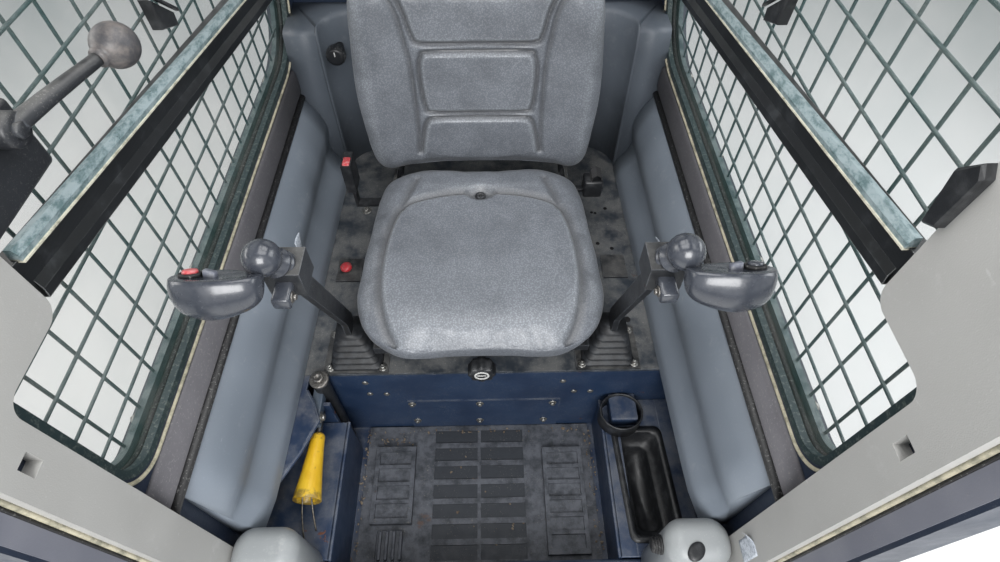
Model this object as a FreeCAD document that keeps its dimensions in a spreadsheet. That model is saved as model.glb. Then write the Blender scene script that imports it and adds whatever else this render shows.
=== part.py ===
import FreeCAD, Part
import math
import os
import Sketcher

# Operator's cab of a skid steer loader, seen from its own seat side.
# X runs to the photograph's right, Y to the machine's rear and Z up, in millimetres.
# The origin is on the floor under the middle of the cab.

SIZES = {
    # shell of the cab
    "cab_width": 994,
    "cab_length": 1290,
    "cab_height": 1616,
    "side_wall": 50,
    "rear_wall": 45,
    "post_depth": 80,
    "corner_round": 24,
    "header_height": 100,
    "header_round": 45,
    "roof_thickness": 50,
    "roof_edge_round": 18,
    "rib_count": 5,
    "rib_width": 70,
    "rib_depth": 7,
    "rib_margin": 120,
    "piece_gap": 0.3,
    # base frame under the floor
    "base_height": 50,
    "rail_width": 60,
    "cross_depth": 60,
    "cross_inset": 75,
    "bolt_bore": 18,
    "bolt_inset": 32,
    "pivot_bore": 30,
    "pivot_inset": 40,
    # floor, footwell and seat plate
    "sheet_metal": 6,
    "footwell_depth": 455,
    "plate_height": 292,
    "sill_depth": 110,
    "sill_height": 140,
    "sill_round": 14,
    "cover_width": 360,
    "cover_height": 146,
    "cover_foot": 12,
    "cover_sheet": 4,
    "service_hole": 80,
    # side windows, above the footwell floor
    "window_sill": 628,
    "window_height": 780,
    "window_front": 110,
    "window_rear": 65,
    "window_round": 60,
    "window_big_round": 180,
    "glass": 5,
    "glass_depth": 11,
    "seal_width": 12,
    "mesh_pitch": 57.2,
    "mesh_wire": 4.6,
    "mesh_bar": 16,
    "mesh_bar_depth": 10,
    "mesh_inset": 14,
    "rail_front_height": 937,
    "rail_rear_height": 787,
    "rail_band": 50,
    "rail_proud": 12,
    "pane_gap": 4,
    # rear wall
    "rear_window_width": 680,
    "rear_window_height": 660,
    "rear_window_sill": 704,
    "lining_height": 622,
    "lining_reach": 150,
    "lining_depth": 50,
    "lining_side": 62,
    "lining_round": 90,
    # side pads and front trims
    "pad_front": 135,
    "pad_top": 533,
    "pad_foot": 52,
    "pad_roll": 60,
    "pad_waist": 36,
    "pad_crown": 44,
    "pad_round": 16,
    "trim_thickness": 17,
    "trim_foot": 27,
    "trim_front": 40,
    "trim_rear": 103,
    "trim_bulge": 215,
    "trim_bulge_low": 905,
    "trim_top": 1340,
    "trim_round": 22,
    "trim_slot_height": 834,
    "trim_slot_radius": 9,
    "trim_slot_length": 26,
    "bulb_reach": 115,
    "bulb_depth": 48,
    "bulb_height": 362,
    "bulb_round": 22,
    # floor mat, foot blocks and pedal
    "mat_width": 552,
    "mat_shift": -15,
    "mat_depth": 336,
    "mat_thickness": 10,
    "mat_cell_width": 105,
    "mat_cell_depth": 32,
    "mat_cell_pitch": 45,
    "mat_cell_rows": 7,
    "mat_groove": 3,
    "block_width": 96,
    "block_height": 16,
    "block_offset": 203,
    "left_block_length": 180,
    "right_block_length": 244,
    "pedal_length": 66,
    # small fittings in the footwell
    "post_radius": 17,
    "tray_width": 100,
    "tray_length": 238,
    "tray_height": 140,
    "tray_wall": 4,
    "cup_radius": 55,
    "cup_height": 70,
    "sleeve_radius": 22,
    "sleeve_length": 140,
    # seat
    "seat_base_width": 380,
    "seat_base_depth": 380,
    "seat_base_height": 84,
    "slide_width": 34,
    "slide_height": 18,
    "slide_spread": 300,
    "pan_width": 430,
    "pan_depth": 440,
    "pan_height": 18,
    "cushion_width": 497,
    "cushion_rear_width": 380,
    "cushion_depth": 466,
    "cushion_height": 84,
    "cushion_round": 30,
    "back_width": 540,
    "back_foot_width": 490,
    "back_height": 440,
    "back_thickness": 78,
    "back_round": 30,
    "back_lean": 6,
    "shell_thickness": 14,
    "hinge_ear": 8,
    "hinge_clear": 2,
    "hinge_pin": 6,
    "knob_radius": 24,
    "knob_length": 20,
    # control sticks
    "stick_spread": 548,
    "stick_setback": 56,
    "pivot_height": 40,
    "flange_width": 140,
    "flange_depth": 110,
    "flange_sheet": 4,
    "boot_foot": 54,
    "boot_neck": 25,
    "boot_height": 96,
    "boot_wall": 2.5,
    "boot_folds": 4,
    "spider": 26,
    "pin_radius": 5,
    "pin_fit": 0.05,
    "ear_gap": 40,
    "ear": 10,
    "fork_leg": 6,
    "arm_width": 38,
    "arm_sheet": 12,
    "arm_rise": 410,
    "arm_forward": 122,
    "grip_length": 116,
    "grip_radius": 36,
    "grip_outward": 63,
    "grip_forward": 60,
    "grip_rise": 60,
    # restraint bar above the seat
    "bar_radius": 16,
    "bar_spread": 660,
    "bar_hand_spread": 380,
    "bar_length": 690,
    "bar_straight": 330,
    "bar_setback": 190,
    "bar_pivot_height": 1010,
    "bar_raise": 29,
    "bar_round": 70,
    "bar_clear": 6,
    "bar_pin": 8,
    "hub_radius": 24,
    "hub_width": 22,
    "bracket_sheet": 12,
    # lamps and lever
    "lamp_width": 110,
    "lamp_height": 64,
    "lamp_depth": 34,
    "lamp_inset": 120,
    "lever_ball": 23,
    "lever_rod": 5,
}

doc = FreeCAD.newDocument("Cab")
sheet = doc.addObject("Spreadsheet::Sheet", "Sizes")
for row, (name, number) in enumerate(SIZES.items(), start=1):
    sheet.set("A%d" % row, name)
    sheet.set("B%d" % row, str(number))
    sheet.setAlias("B%d" % row, name)
doc.recompute()


class Term:
    """A size with the sheet expression that gives it, so that sums of sizes stay bound."""

    def __init__(self, value, text):
        self.value = value
        self.text = text

    def join(self, sign, other, value):
        return Term(value, "(%s %s %s)" % (self.text, sign, other.text))

    def __float__(self):
        return self.value

    def __neg__(self):
        return Term(-self.value, "(0 - %s)" % self.text)

    def __add__(self, other):
        other = term(other)
        return self.join("+", other, self.value + other.value)

    def __sub__(self, other):
        other = term(other)
        return self.join("-", other, self.value - other.value)

    def __mul__(self, other):
        other = term(other)
        return self.join("*", other, self.value * other.value)

    def __truediv__(self, other):
        other = term(other)
        return self.join("/", other, self.value / other.value)

    def __radd__(self, other):
        return term(other) + self

    def __rsub__(self, other):
        return term(other) - self

    def __rmul__(self, other):
        return term(other) * self


def term(number):
    """Return a number as a term, and a term as it is."""
    return number if isinstance(number, Term) else Term(float(number), "%.6g" % number)


class Sheet:
    """Each size of the sheet by its name."""

    def __getattr__(self, name):
        return Term(float(sheet.get(name)), "Sizes." + name)


S = Sheet()

# places that many pieces share
HALF = S.cab_width / 2
INNER = HALF - S.side_wall
FRONT = -(S.cab_length / 2)
REAR = S.cab_length / 2
PANEL_FRONT = FRONT + S.post_depth
PANEL_REAR = REAR - S.rear_wall
ROOF = S.cab_height - S.roof_thickness
FLOOR = S.base_height + S.sheet_metal
RISER = FRONT + S.footwell_depth
PLATE = FLOOR + S.plate_height
GAP = S.piece_gap
WINDOW_LOW = FLOOR + S.window_sill
WINDOW_HIGH = WINDOW_LOW + S.window_height
WINDOW_START = FRONT + S.window_front + 0
WINDOW_END = REAR - S.window_rear
SIDES = (("left", -1), ("right", 1))

nodes = {}


def node(name, feature):
    """Keep a finished sub-part under its own name."""
    feature.Label = name
    nodes[name] = feature
    return feature


def put(feature, x, y, z, axis=(0, 0, 1), angle=0):
    """Place a feature at a point bound to the sheet, turned by a fixed angle."""
    turn = FreeCAD.Rotation(FreeCAD.Vector(*axis), angle)
    feature.Placement = FreeCAD.Placement(FreeCAD.Vector(float(x), float(y), float(z)), turn)
    for letter, place in zip("xyz", (x, y, z)):
        feature.setExpression("Placement.Base." + letter, term(place).text)
    return feature


def bind(feature, **values):
    """Bind properties of a feature to terms."""
    for name, value in values.items():
        feature.setExpression(name, term(value).text)
    return feature


def box(x0, x1, y0, y1, z0, z1):
    """A block between two corners."""
    block = doc.addObject("Part::Box", "Block")
    bind(block, Length=term(x1) - x0, Width=term(y1) - y0, Height=term(z1) - z0)
    return put(block, x0, y0, z0)


AXES = {"x": ((0, 1, 0), 90), "y": ((1, 0, 0), -90), "z": ((0, 0, 1), 0)}


def rod(radius, length, axis, x, y, z):
    """A cylinder that starts at a point and runs along X, Y or Z."""
    piece = doc.addObject("Part::Cylinder", "Rod")
    bind(piece, Radius=radius, Height=length)
    turn, angle = AXES[axis]
    return put(piece, x, y, z, turn, angle)


def fuse(*parts):
    """Several features as one."""
    whole = doc.addObject("Part::MultiFuse", "Joined")
    whole.Shapes = list(parts)
    return whole


def cut(base, *tools):
    """A feature less one or more tools."""
    result = doc.addObject("Part::Cut", "Cut")
    result.Base = base
    result.Tool = tools[0] if len(tools) == 1 else fuse(*tools)
    return result


def new_body(x=0, y=0, z=0):
    """A body placed at a bound point."""
    return put(doc.addObject("PartDesign::Body", "Body"), x, y, z)


def origin_plane(body, role):
    """One of the body's own origin planes."""
    return next(item for item in body.Origin.OriginFeatures if item.Role == role)


def new_sketch(body, role, offset=0):
    """A sketch on one of the body's origin planes, moved along its normal."""
    sketch = body.newObject("Sketcher::SketchObject", "Sketch")
    sketch.AttachmentSupport = (origin_plane(body, role), [""])
    sketch.MapMode = "FlatFace"
    sketch.setExpression("AttachmentOffset.Base.z", term(offset).text)
    return sketch


def fix_point(sketch, geometry, end, point):
    """Hold one end of a line by its two bound distances from the sketch's origin."""
    for kind, value in zip(("DistanceX", "DistanceY"), point):
        value = term(value)
        number = sketch.addConstraint(
            Sketcher.Constraint(kind, -1, 1, geometry, end, value.value))
        sketch.setExpression("Constraints[%d]" % number, value.text)


def loop(sketch, points):
    """A closed outline of straight lines through bound points."""
    corners = [FreeCAD.Vector(float(a), float(b), 0) for a, b in points]
    first = sketch.GeometryCount
    count = len(corners)
    for index in range(count):
        sketch.addGeometry(Part.LineSegment(corners[index], corners[(index + 1) % count]), False)
    for index in range(count):
        after = first + (index + 1) % count
        sketch.addConstraint(Sketcher.Constraint("Coincident", first + index, 2, after, 1))
        fix_point(sketch, first + index, 1, points[index])
    return sketch


def circle(sketch, x, y, radius):
    """A bound circle."""
    centre = FreeCAD.Vector(float(x), float(y), 0)
    number = sketch.addGeometry(
        Part.Circle(centre, FreeCAD.Vector(0, 0, 1), float(radius)), False)
    fix_point(sketch, number, 3, (x, y))
    held = sketch.addConstraint(Sketcher.Constraint("Radius", number, float(radius)))
    sketch.setExpression("Constraints[%d]" % held, term(radius).text)
    return sketch


def rectangle(x0, x1, y0, y1):
    """The four corners of a rectangle."""
    return [(x0, y0), (x1, y0), (x1, y1), (x0, y1)]


def pad(body, sketch, length, back=False):
    """Raise a sketch into a solid."""
    feature = body.newObject("PartDesign::Pad", "Pad")
    feature.Profile = sketch
    feature.Reversed = back
    return bind(feature, Length=length)


def pocket(body, sketch, depth, back=False):
    """Sink a sketch into the solid."""
    feature = body.newObject("PartDesign::Pocket", "Pocket")
    feature.Profile = sketch
    feature.Reversed = back
    return bind(feature, Length=depth)


def round_edges(body, radius, keep):
    """Round the edges of the body's last feature that the test keeps."""
    doc.recompute()
    tip = body.Tip
    names = ["Edge%d" % (i + 1) for i, edge in enumerate(tip.Shape.Edges) if keep(edge)]
    feature = body.newObject("PartDesign::Fillet", "Fillet")
    feature.Base = (tip, names)
    return bind(feature, Radius=radius)


def along(edge, direction):
    """Tell whether a straight edge runs along a direction."""
    if edge.Curve.TypeId != "Part::GeomLine":
        return False
    return abs(abs(edge.Curve.Direction.dot(FreeCAD.Vector(*direction))) - 1) < 1e-6


def near(edge, **place):
    """Tell whether an edge's centre has the given coordinates."""
    centre = edge.CenterOfGravity
    return all(abs(getattr(centre, axis) - float(value)) < 0.5 for axis, value in place.items())


def level_at(edge, height):
    """Tell whether an edge lies flat at a height."""
    bounds = edge.BoundBox
    return max(abs(bounds.ZMin - float(height)), abs(bounds.ZMax - float(height))) < 0.1


def base_frame():
    """Two long rails and three cross members, with the bolt and pivot bores."""
    reach = HALF - S.rail_width
    solids = [box(side * HALF, side * reach, FRONT, REAR, 0, S.base_height)
              if side < 0 else box(reach, HALF, FRONT, REAR, 0, S.base_height)
              for _, side in SIDES]
    for start in (FRONT + S.cross_inset,
                  RISER - S.cross_depth / 2,
                  REAR - S.cross_inset - S.cross_depth):
        solids.append(box(-reach, reach, start, start + S.cross_depth, 0, S.base_height))
    holes = []
    for _, side in SIDES:
        holes.append(rod(S.bolt_bore / 2, S.base_height, "z",
                         side * (HALF - S.rail_width / 2), FRONT + S.bolt_inset, 0))
    holes.append(rod(S.pivot_bore / 2, S.cab_width, "x",
                     -HALF, REAR - S.pivot_inset, S.base_height / 2))
    return node("base_frame", cut(fuse(*solids), *holes))


def frame_with_opening(x_half, z0, z1, hole, depth, y0, round_hole):
    """A flat upright frame across the cab with one opening."""
    body = new_body(0, y0, 0)
    sketch = new_sketch(body, "XZ_Plane")
    loop(sketch, rectangle(-x_half, x_half, z0, z1))
    loop(sketch, rectangle(-hole[0], hole[0], hole[1], hole[2]))
    pad(body, sketch, depth, back=True)
    round_edges(body, round_hole, lambda e: along(e, (0, 1, 0)) and (
        abs(abs(e.CenterOfGravity.x) - float(hole[0])) < 0.5))
    return body


def door_frame():
    """The front posts and header, one welded frame."""
    body = new_body(0, FRONT, 0)
    sketch = new_sketch(body, "XZ_Plane")
    header = ROOF - S.header_height
    loop(sketch, [(-HALF, S.base_height), (-INNER, S.base_height), (-INNER, header),
                  (INNER, header), (INNER, S.base_height), (HALF, S.base_height),
                  (HALF, ROOF), (-HALF, ROOF)])
    pad(body, sketch, S.post_depth, back=True)
    round_edges(body, S.header_round, lambda e: along(e, (0, 1, 0)) and (
        near(e, x=INNER, z=header) or near(e, x=-INNER, z=header)))
    return node("door_frame", body)


def build_rear_frame():
    """The rear wall with its window."""
    low = FLOOR + S.rear_window_sill
    body = frame_with_opening(HALF, S.base_height, ROOF,
                              (S.rear_window_width / 2, low, low + S.rear_window_height),
                              S.rear_wall, PANEL_REAR, S.window_round)
    return node("rear_frame", body)


def window_outline(inset):
    """The four corners of a side window, moved inwards."""
    return rectangle(WINDOW_START + inset, WINDOW_END - inset,
                     WINDOW_LOW + inset, WINDOW_HIGH - inset)


def round_window(body, inset):
    """Round the window's edges, with the large round at the rear lower corner."""
    def is_corner(edge, large):
        if not along(edge, (1, 0, 0)):
            return False
        centre = edge.CenterOfGravity
        at_y = min(abs(centre.y - float(WINDOW_START + inset)),
                   abs(centre.y - float(WINDOW_END - inset))) < 0.5
        at_z = min(abs(centre.z - float(WINDOW_LOW + inset)),
                   abs(centre.z - float(WINDOW_HIGH - inset))) < 0.5
        rear_low = centre.y > 0 and abs(centre.z - float(WINDOW_LOW + inset)) < 0.5
        return at_y and at_z and rear_low == large
    round_edges(body, S.window_big_round - inset, lambda e: is_corner(e, True))
    round_edges(body, S.window_round - inset, lambda e: is_corner(e, False))


def side_x(side, inward, depth):
    """Where a plate starts along X, given its inner face's depth into the wall."""
    return INNER + inward if side > 0 else -(INNER + inward + depth)


def side_panel(name, side):
    """One side wall with its window opening."""
    body = new_body(side_x(side, 0, S.side_wall), 0, 0)
    sketch = new_sketch(body, "YZ_Plane")
    loop(sketch, rectangle(PANEL_FRONT, PANEL_REAR, S.base_height, ROOF))
    loop(sketch, window_outline(0))
    pad(body, sketch, S.side_wall)
    round_window(body, 0)
    return node("side_panel_" + name, body)


def window_blank(side, inward, depth, inset):
    """A flat plate with the side window's outline, moved inwards."""
    body = new_body(side_x(side, inward, depth), 0, 0)
    sketch = new_sketch(body, "YZ_Plane")
    loop(sketch, window_outline(inset))
    pad(body, sketch, depth)
    round_window(body, inset)
    return body


def window_ring(side, inward, depth, inset, width):
    """A ring that follows the side window's outline."""
    return cut(window_blank(side, inward, depth, inset),
               window_blank(side, inward, depth, inset + width))


def side_screen(name, side):
    """The welded wire mesh in its bar frame, outside the glass."""
    depth = S.mesh_bar_depth
    inward = S.side_wall - S.mesh_inset - depth
    frame = window_ring(side, inward, depth, GAP, S.mesh_bar)
    middle = side * (INNER + inward + depth / 2)
    span = WINDOW_END - WINDOW_START
    rise = WINDOW_HIGH - WINDOW_LOW
    wires = []
    upright = int(float(span) / float(S.mesh_pitch))
    for index in range(1, upright + 1):
        wires.append(rod(S.mesh_wire / 2, rise - GAP * 4, "z", middle + side * S.mesh_wire * 0.55,
                         WINDOW_START + S.mesh_pitch * index, WINDOW_LOW + GAP * 2))
    level = int(float(rise) / float(S.mesh_pitch))
    for index in range(1, level + 1):
        wires.append(rod(S.mesh_wire / 2, span - GAP * 4, "y", middle - side * S.mesh_wire * 0.55,
                         WINDOW_START + GAP * 2, WINDOW_LOW + S.mesh_pitch * index))
    blank = window_blank(side, inward, depth, S.mesh_bar / 2)
    trimmed = doc.addObject("Part::Common", "Trimmed")
    trimmed.Base = fuse(*wires)
    trimmed.Tool = blank
    return node("side_screen_" + name, fuse(frame, trimmed))


def rail_edge(y, lift):
    """Height of the sloping rail's lower edge at a place along Y, plus a lift."""
    span = WINDOW_END - WINDOW_START
    drop = S.rail_front_height - S.rail_rear_height
    return FLOOR + S.rail_front_height - drop * (y - WINDOW_START) / span + lift


def side_glass(name, side):
    """The fixed lower pane and the sliding upper pane of one side."""
    panes = []
    inset = GAP
    middle = S.rail_band / 2
    for upper in (False, True):
        body = window_blank(side, S.glass_depth, S.glass, inset)
        rest = new_sketch(body, "YZ_Plane")
        start, end = WINDOW_START - 10, WINDOW_END + 10
        if upper:
            edge = middle + S.pane_gap / 2
            far = WINDOW_LOW - 50
        else:
            edge = middle - S.pane_gap / 2
            far = WINDOW_HIGH + 50
        loop(rest, [(start, rail_edge(start, edge)), (end, rail_edge(end, edge)),
                    (end, far), (start, far)])
        pocket(body, rest, S.glass, back=True)
        panes.append(body)
    return node("side_glass_" + name, fuse(*panes))


def window_rail(name, side):
    """The black rail of the sliding window, which slopes down to the rear."""
    depth = S.glass_depth - GAP + S.rail_proud
    body = new_body(side_x(side, -S.rail_proud, depth), 0, 0)
    sketch = new_sketch(body, "YZ_Plane")
    start = FRONT + S.trim_bulge + GAP
    end = WINDOW_END - S.seal_width - 2
    loop(sketch, [(start, rail_edge(start, 0)), (end, rail_edge(end, 0)),
                  (end, rail_edge(end, S.rail_band)), (start, rail_edge(start, S.rail_band))])
    pad(body, sketch, depth)
    return node("window_rail_" + name, body)


def window_seal(name, side):
    """The pale rubber seal between the side wall and the glass."""
    return node("window_seal_" + name,
                window_ring(side, term(0), S.glass_depth - GAP, GAP, S.seal_width - GAP))


def roof_panel():
    """The roof, a pressed panel with long ribs and rounded edges."""
    body = new_body(0, 0, ROOF)
    sketch = new_sketch(body, "XY_Plane")
    loop(sketch, rectangle(-HALF, HALF, FRONT, REAR))
    pad(body, sketch, S.roof_thickness)
    round_edges(body, S.corner_round, lambda e: along(e, (0, 0, 1)))
    round_edges(body, S.roof_edge_round, lambda e: level_at(e, S.roof_thickness))
    pitch = (S.cab_width - S.rib_margin * 2) / S.rib_count
    for index in range(int(float(S.rib_count))):
        groove = new_sketch(body, "XY_Plane", S.roof_thickness)
        start = -HALF + S.rib_margin + pitch * index + (pitch - S.rib_width) / 2
        loop(groove, rectangle(start, start + S.rib_width,
                               FRONT + S.rib_margin, REAR - S.rib_margin))
        pocket(body, groove, S.rib_depth)
    return node("roof_panel", body)


def floor_pan():
    """The steel floor of the footwell."""
    return node("floor_pan", box(-INNER, INNER, FRONT, RISER, S.base_height, FLOOR))


def riser_panel():
    """The upright plate below the front of the seat, with its service opening."""
    plate = box(-INNER, INNER, RISER, RISER + S.sheet_metal, FLOOR, PLATE - S.sheet_metal)
    half = S.service_hole
    low = FLOOR + S.cover_foot + S.cover_height / 2
    return node("riser_panel", cut(plate, box(
        -half, half, RISER - 1, RISER + S.sheet_metal + 1, low - half / 2, low + half / 2)))


def access_cover():
    """The bolted cover over the service opening."""
    half = S.cover_width / 2
    low = FLOOR + S.cover_foot
    return node("access_cover", box(-half, half, RISER - S.cover_sheet, RISER,
                                    low, low + S.cover_height))


def seat_plate():
    """The deck that carries the seat and the sticks."""
    deck = box(-INNER, INNER, RISER, PANEL_REAR, PLATE - S.sheet_metal, PLATE)
    holes = []
    for _, side in SIDES:
        holes.append(rod(S.boot_neck, S.sheet_metal + 2, "z", side * S.stick_spread / 2,
                         RISER + S.stick_setback, PLATE - S.sheet_metal - 1))
    return node("seat_plate", cut(deck, *holes))


def front_sill():
    """The folded step across the doorway."""
    body = new_body(-INNER, 0, 0)
    sketch = new_sketch(body, "YZ_Plane")
    back = FRONT + S.sill_depth
    top = FLOOR + S.sill_height
    sheet_metal = S.sheet_metal
    loop(sketch, [(FRONT, FLOOR), (FRONT + sheet_metal, FLOOR),
                  (FRONT + sheet_metal, top - sheet_metal), (back - sheet_metal, top - sheet_metal),
                  (back - sheet_metal, FLOOR), (back, FLOOR), (back, top), (FRONT, top)])
    pad(body, sketch, INNER * 2)
    round_edges(body, S.sill_round, lambda e: along(e, (1, 0, 0)) and near(e, z=top))
    return node("front_sill", body)


def rear_glass():
    """The rear window's pane, in the middle of the wall."""
    body = new_body(0, PANEL_REAR + S.rear_wall / 2 - S.glass / 2, 0)
    sketch = new_sketch(body, "XZ_Plane")
    half = S.rear_window_width / 2 - GAP
    low = FLOOR + S.rear_window_sill + GAP
    loop(sketch, rectangle(-half, half, low, low + S.rear_window_height - GAP * 2))
    pad(body, sketch, S.glass, back=True)
    round_edges(body, S.window_round - GAP, lambda e: along(e, (0, 1, 0)))
    return node("rear_glass", body)


def rear_lining():
    """The grey moulding behind the seat, with rounded inner corners."""
    body = new_body(0, 0, PLATE)
    sketch = new_sketch(body, "XY_Plane")
    front = PANEL_REAR - S.lining_reach
    face = PANEL_REAR - S.lining_depth
    side = INNER - S.lining_side
    loop(sketch, [(-INNER, front), (-side, front), (-side, face), (side, face),
                  (side, front), (INNER, front), (INNER, PANEL_REAR), (-INNER, PANEL_REAR)])
    pad(body, sketch, S.lining_height - S.plate_height)
    round_edges(body, S.lining_round, lambda e: along(e, (0, 0, 1)) and near(e, y=face))
    return node("rear_lining", body)


def side_pad(name, side):
    """The long soft moulding under one side window."""
    start = FRONT + S.pad_front
    end = PANEL_REAR - S.lining_reach - GAP
    body = new_body(0, start, FLOOR)
    sketch = new_sketch(body, "XZ_Plane")
    low = S.plate_height
    middle = (S.pad_top + S.plate_height) / 2
    profile = [(0, low), (S.pad_foot, low), (S.pad_roll, low + 38), (S.pad_waist, middle),
               (S.pad_crown, S.pad_top - 30), (S.pad_crown - 14, S.pad_top), (0, S.pad_top)]
    loop(sketch, [(side * (INNER - depth), height) for depth, height in profile])
    pad(body, sketch, end - start, back=True)
    rounded = [float(INNER - depth) for depth in (
        S.pad_roll, S.pad_waist, S.pad_crown, S.pad_crown - 14)]
    round_edges(body, S.pad_round, lambda e: along(e, (0, 1, 0)) and any(
        abs(abs(e.CenterOfGravity.x) - place) < 0.5 for place in rounded))
    return node("side_pad_" + name, body)


def front_trim(name, side):
    """The pale moulding on the inside of one door post, with its foot bulb and slot."""
    body = new_body(side_x(side, -S.trim_thickness, S.trim_thickness), 0, 0)
    sketch = new_sketch(body, "YZ_Plane")
    front = FRONT + S.trim_front
    rear = FRONT + S.trim_rear
    bulge = FRONT + S.trim_bulge
    low = FLOOR + S.sill_height + GAP
    bulge_low = FLOOR + S.trim_bulge_low
    top = FLOOR + S.trim_top
    loop(sketch, [(front, low), (rear, low), (rear, bulge_low),
                  (bulge, bulge_low), (bulge, top), (front, top)])
    pad(body, sketch, S.trim_thickness)
    round_edges(body, S.trim_round, lambda e: along(e, (1, 0, 0)) and (
        near(e, y=bulge) or near(e, y=rear, z=bulge_low)))
    slot = new_sketch(body, "YZ_Plane")
    middle = (front + rear) / 2
    height = FLOOR + S.trim_slot_height
    loop(slot, rectangle(middle - S.trim_slot_radius, middle + S.trim_slot_radius,
                         height, height + S.trim_slot_length))
    pocket(body, slot, S.trim_thickness, back=True)
    return node("front_trim_" + name, body)


def knee_bulb(name, side):
    """The rounded foot of one front trim, beside the doorway."""
    start = INNER - S.trim_thickness - S.bulb_reach
    body = new_body(start if side > 0 else -(INNER - S.trim_thickness), 0, FLOOR)
    sketch = new_sketch(body, "XY_Plane", S.sill_height + GAP)
    rear = FRONT + S.pad_front - GAP
    loop(sketch, rectangle(0, S.bulb_reach - GAP, rear - S.bulb_depth, rear))
    pad(body, sketch, S.bulb_height - S.sill_height)
    inner = 0 if side > 0 else S.bulb_reach - GAP
    round_edges(body, S.bulb_round, lambda e: along(e, (0, 0, 1)) and near(e, x=inner))
    return node("knee_bulb_" + name, body)


def floor_mat():
    """The rubber mat with its two columns of sunk cells."""
    shift = S.mat_shift
    front = RISER - S.mat_depth - GAP - S.cover_sheet
    body = new_body(shift, 0, FLOOR)
    sketch = new_sketch(body, "XY_Plane")
    loop(sketch, rectangle(-S.mat_width / 2, S.mat_width / 2, front, RISER - S.cover_sheet - GAP))
    pad(body, sketch, S.mat_thickness)
    cells = new_sketch(body, "XY_Plane", S.mat_thickness)
    for row in range(int(float(S.mat_cell_rows))):
        start = RISER - S.cover_sheet - S.mat_cell_pitch * (row + 1)
        for left in (-S.mat_cell_width - 4, term(4)):
            loop(cells, rectangle(left, left + S.mat_cell_width, start, start + S.mat_cell_depth))
    pocket(body, cells, S.mat_groove)
    return node("floor_mat", body)


def foot_blocks():
    """The two raised foot rests, each with sunk cells, and the ribbed pedal."""
    pieces = []
    for side, length, rear in ((-1, S.left_block_length, 62), (1, S.right_block_length, 70)):
        centre = side * S.block_offset + S.mat_shift
        end = RISER - rear
        body = new_body(centre, 0, FLOOR + S.mat_thickness)
        sketch = new_sketch(body, "XY_Plane")
        half = S.block_width / 2
        loop(sketch, rectangle(-half, half, end - length, end))
        pad(body, sketch, S.block_height)
        grooves = new_sketch(body, "XY_Plane", S.block_height)
        count = 4 if side < 0 else 6
        pitch = (length - 16) / count
        for index in range(count):
            start = end - length + 12 + pitch * index
            loop(grooves, rectangle(-half + 10, half - 10, start, start + pitch - 8))
        pocket(body, grooves, S.mat_groove * 2)
        pieces.append(body)
    return node("foot_blocks", fuse(*pieces))


def cup_tray():
    """The black moulded tray and cup ring on the right of the footwell."""
    start = INNER - S.tray_width - 36
    rear = RISER - 78
    low = FLOOR
    body = box(start, start + S.tray_width, rear - S.tray_length, rear, low, low + S.tray_height)
    wall = S.tray_wall
    hollow = box(start + wall, start + S.tray_width - wall, rear - S.tray_length + wall,
                 rear - wall, low + wall, low + S.tray_height + 1)
    return node("cup_tray", cut(body, hollow))


def hold_down_post():
    """The black post with its bolt beside the left end of the riser."""
    x = -346
    y = RISER - S.post_radius - 3
    post = rod(S.post_radius, S.plate_height + 8, "z", x, y, FLOOR)
    head = rod(S.post_radius - 5, 10, "z", x, y, PLATE + 8)
    return node("hold_down_post", fuse(post, head))


def lock_sleeve():
    """The yellow sleeve of the lock pull, on its bar at the left of the footwell."""
    x, y = -350, RISER - 250
    low = FLOOR + 235
    bar = rod(5, 192, "y", x, y, low)
    sleeve = rod(S.sleeve_radius, S.sleeve_length, "y", x, y, low)
    return node("lock_sleeve", fuse(bar, sleeve))


def lock_bracket():
    """The navy bracket that carries the lock bar."""
    return node("lock_bracket", box(-INNER, -329, RISER - 58, RISER - 50, FLOOR, FLOOR + 262))


def seat_base():
    """The suspension box under the seat with its two fixed slides."""
    half = S.seat_base_width / 2
    start = RISER + 45
    top = PLATE + S.seat_base_height
    pieces = [box(-half, half, start, start + S.seat_base_depth, PLATE, top)]
    for _, side in SIDES:
        x = side * S.slide_spread / 2 - S.slide_width / 2
        pieces.append(box(x, x + S.slide_width, start - 15, start + S.seat_base_depth + 15,
                          top, top + S.slide_height))
    return node("seat_base", fuse(*pieces))


SEAT_LOW = PLATE + S.seat_base_height + S.slide_height + GAP
CUSHION_LOW = SEAT_LOW + S.pan_height
CUSHION_FRONT = RISER - 21


def seat_pan():
    """The steel pan that slides with the seat."""
    half = S.pan_width / 2
    start = CUSHION_FRONT + 14
    rear = start + S.pan_depth
    parts = [box(-half, half, start, rear, SEAT_LOW, CUSHION_LOW)]
    for _, side in SIDES:
        outer = side * half
        x = outer - S.hinge_ear if side > 0 else outer
        parts.append(box(x, x + S.hinge_ear, rear, HINGE_Y - 20, SEAT_LOW, CUSHION_LOW))
        parts.append(box(x, x + S.hinge_ear, HINGE_Y - 38, HINGE_Y + 14, SEAT_LOW, HINGE_Z + 14))
        reach = S.hinge_ear * 2 + S.hinge_clear + 2
        begin = outer - reach if side > 0 else outer
        parts.append(rod(S.hinge_pin, reach, "x", begin, HINGE_Y, HINGE_Z))
    return node("seat_pan", fuse(*parts))


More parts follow.
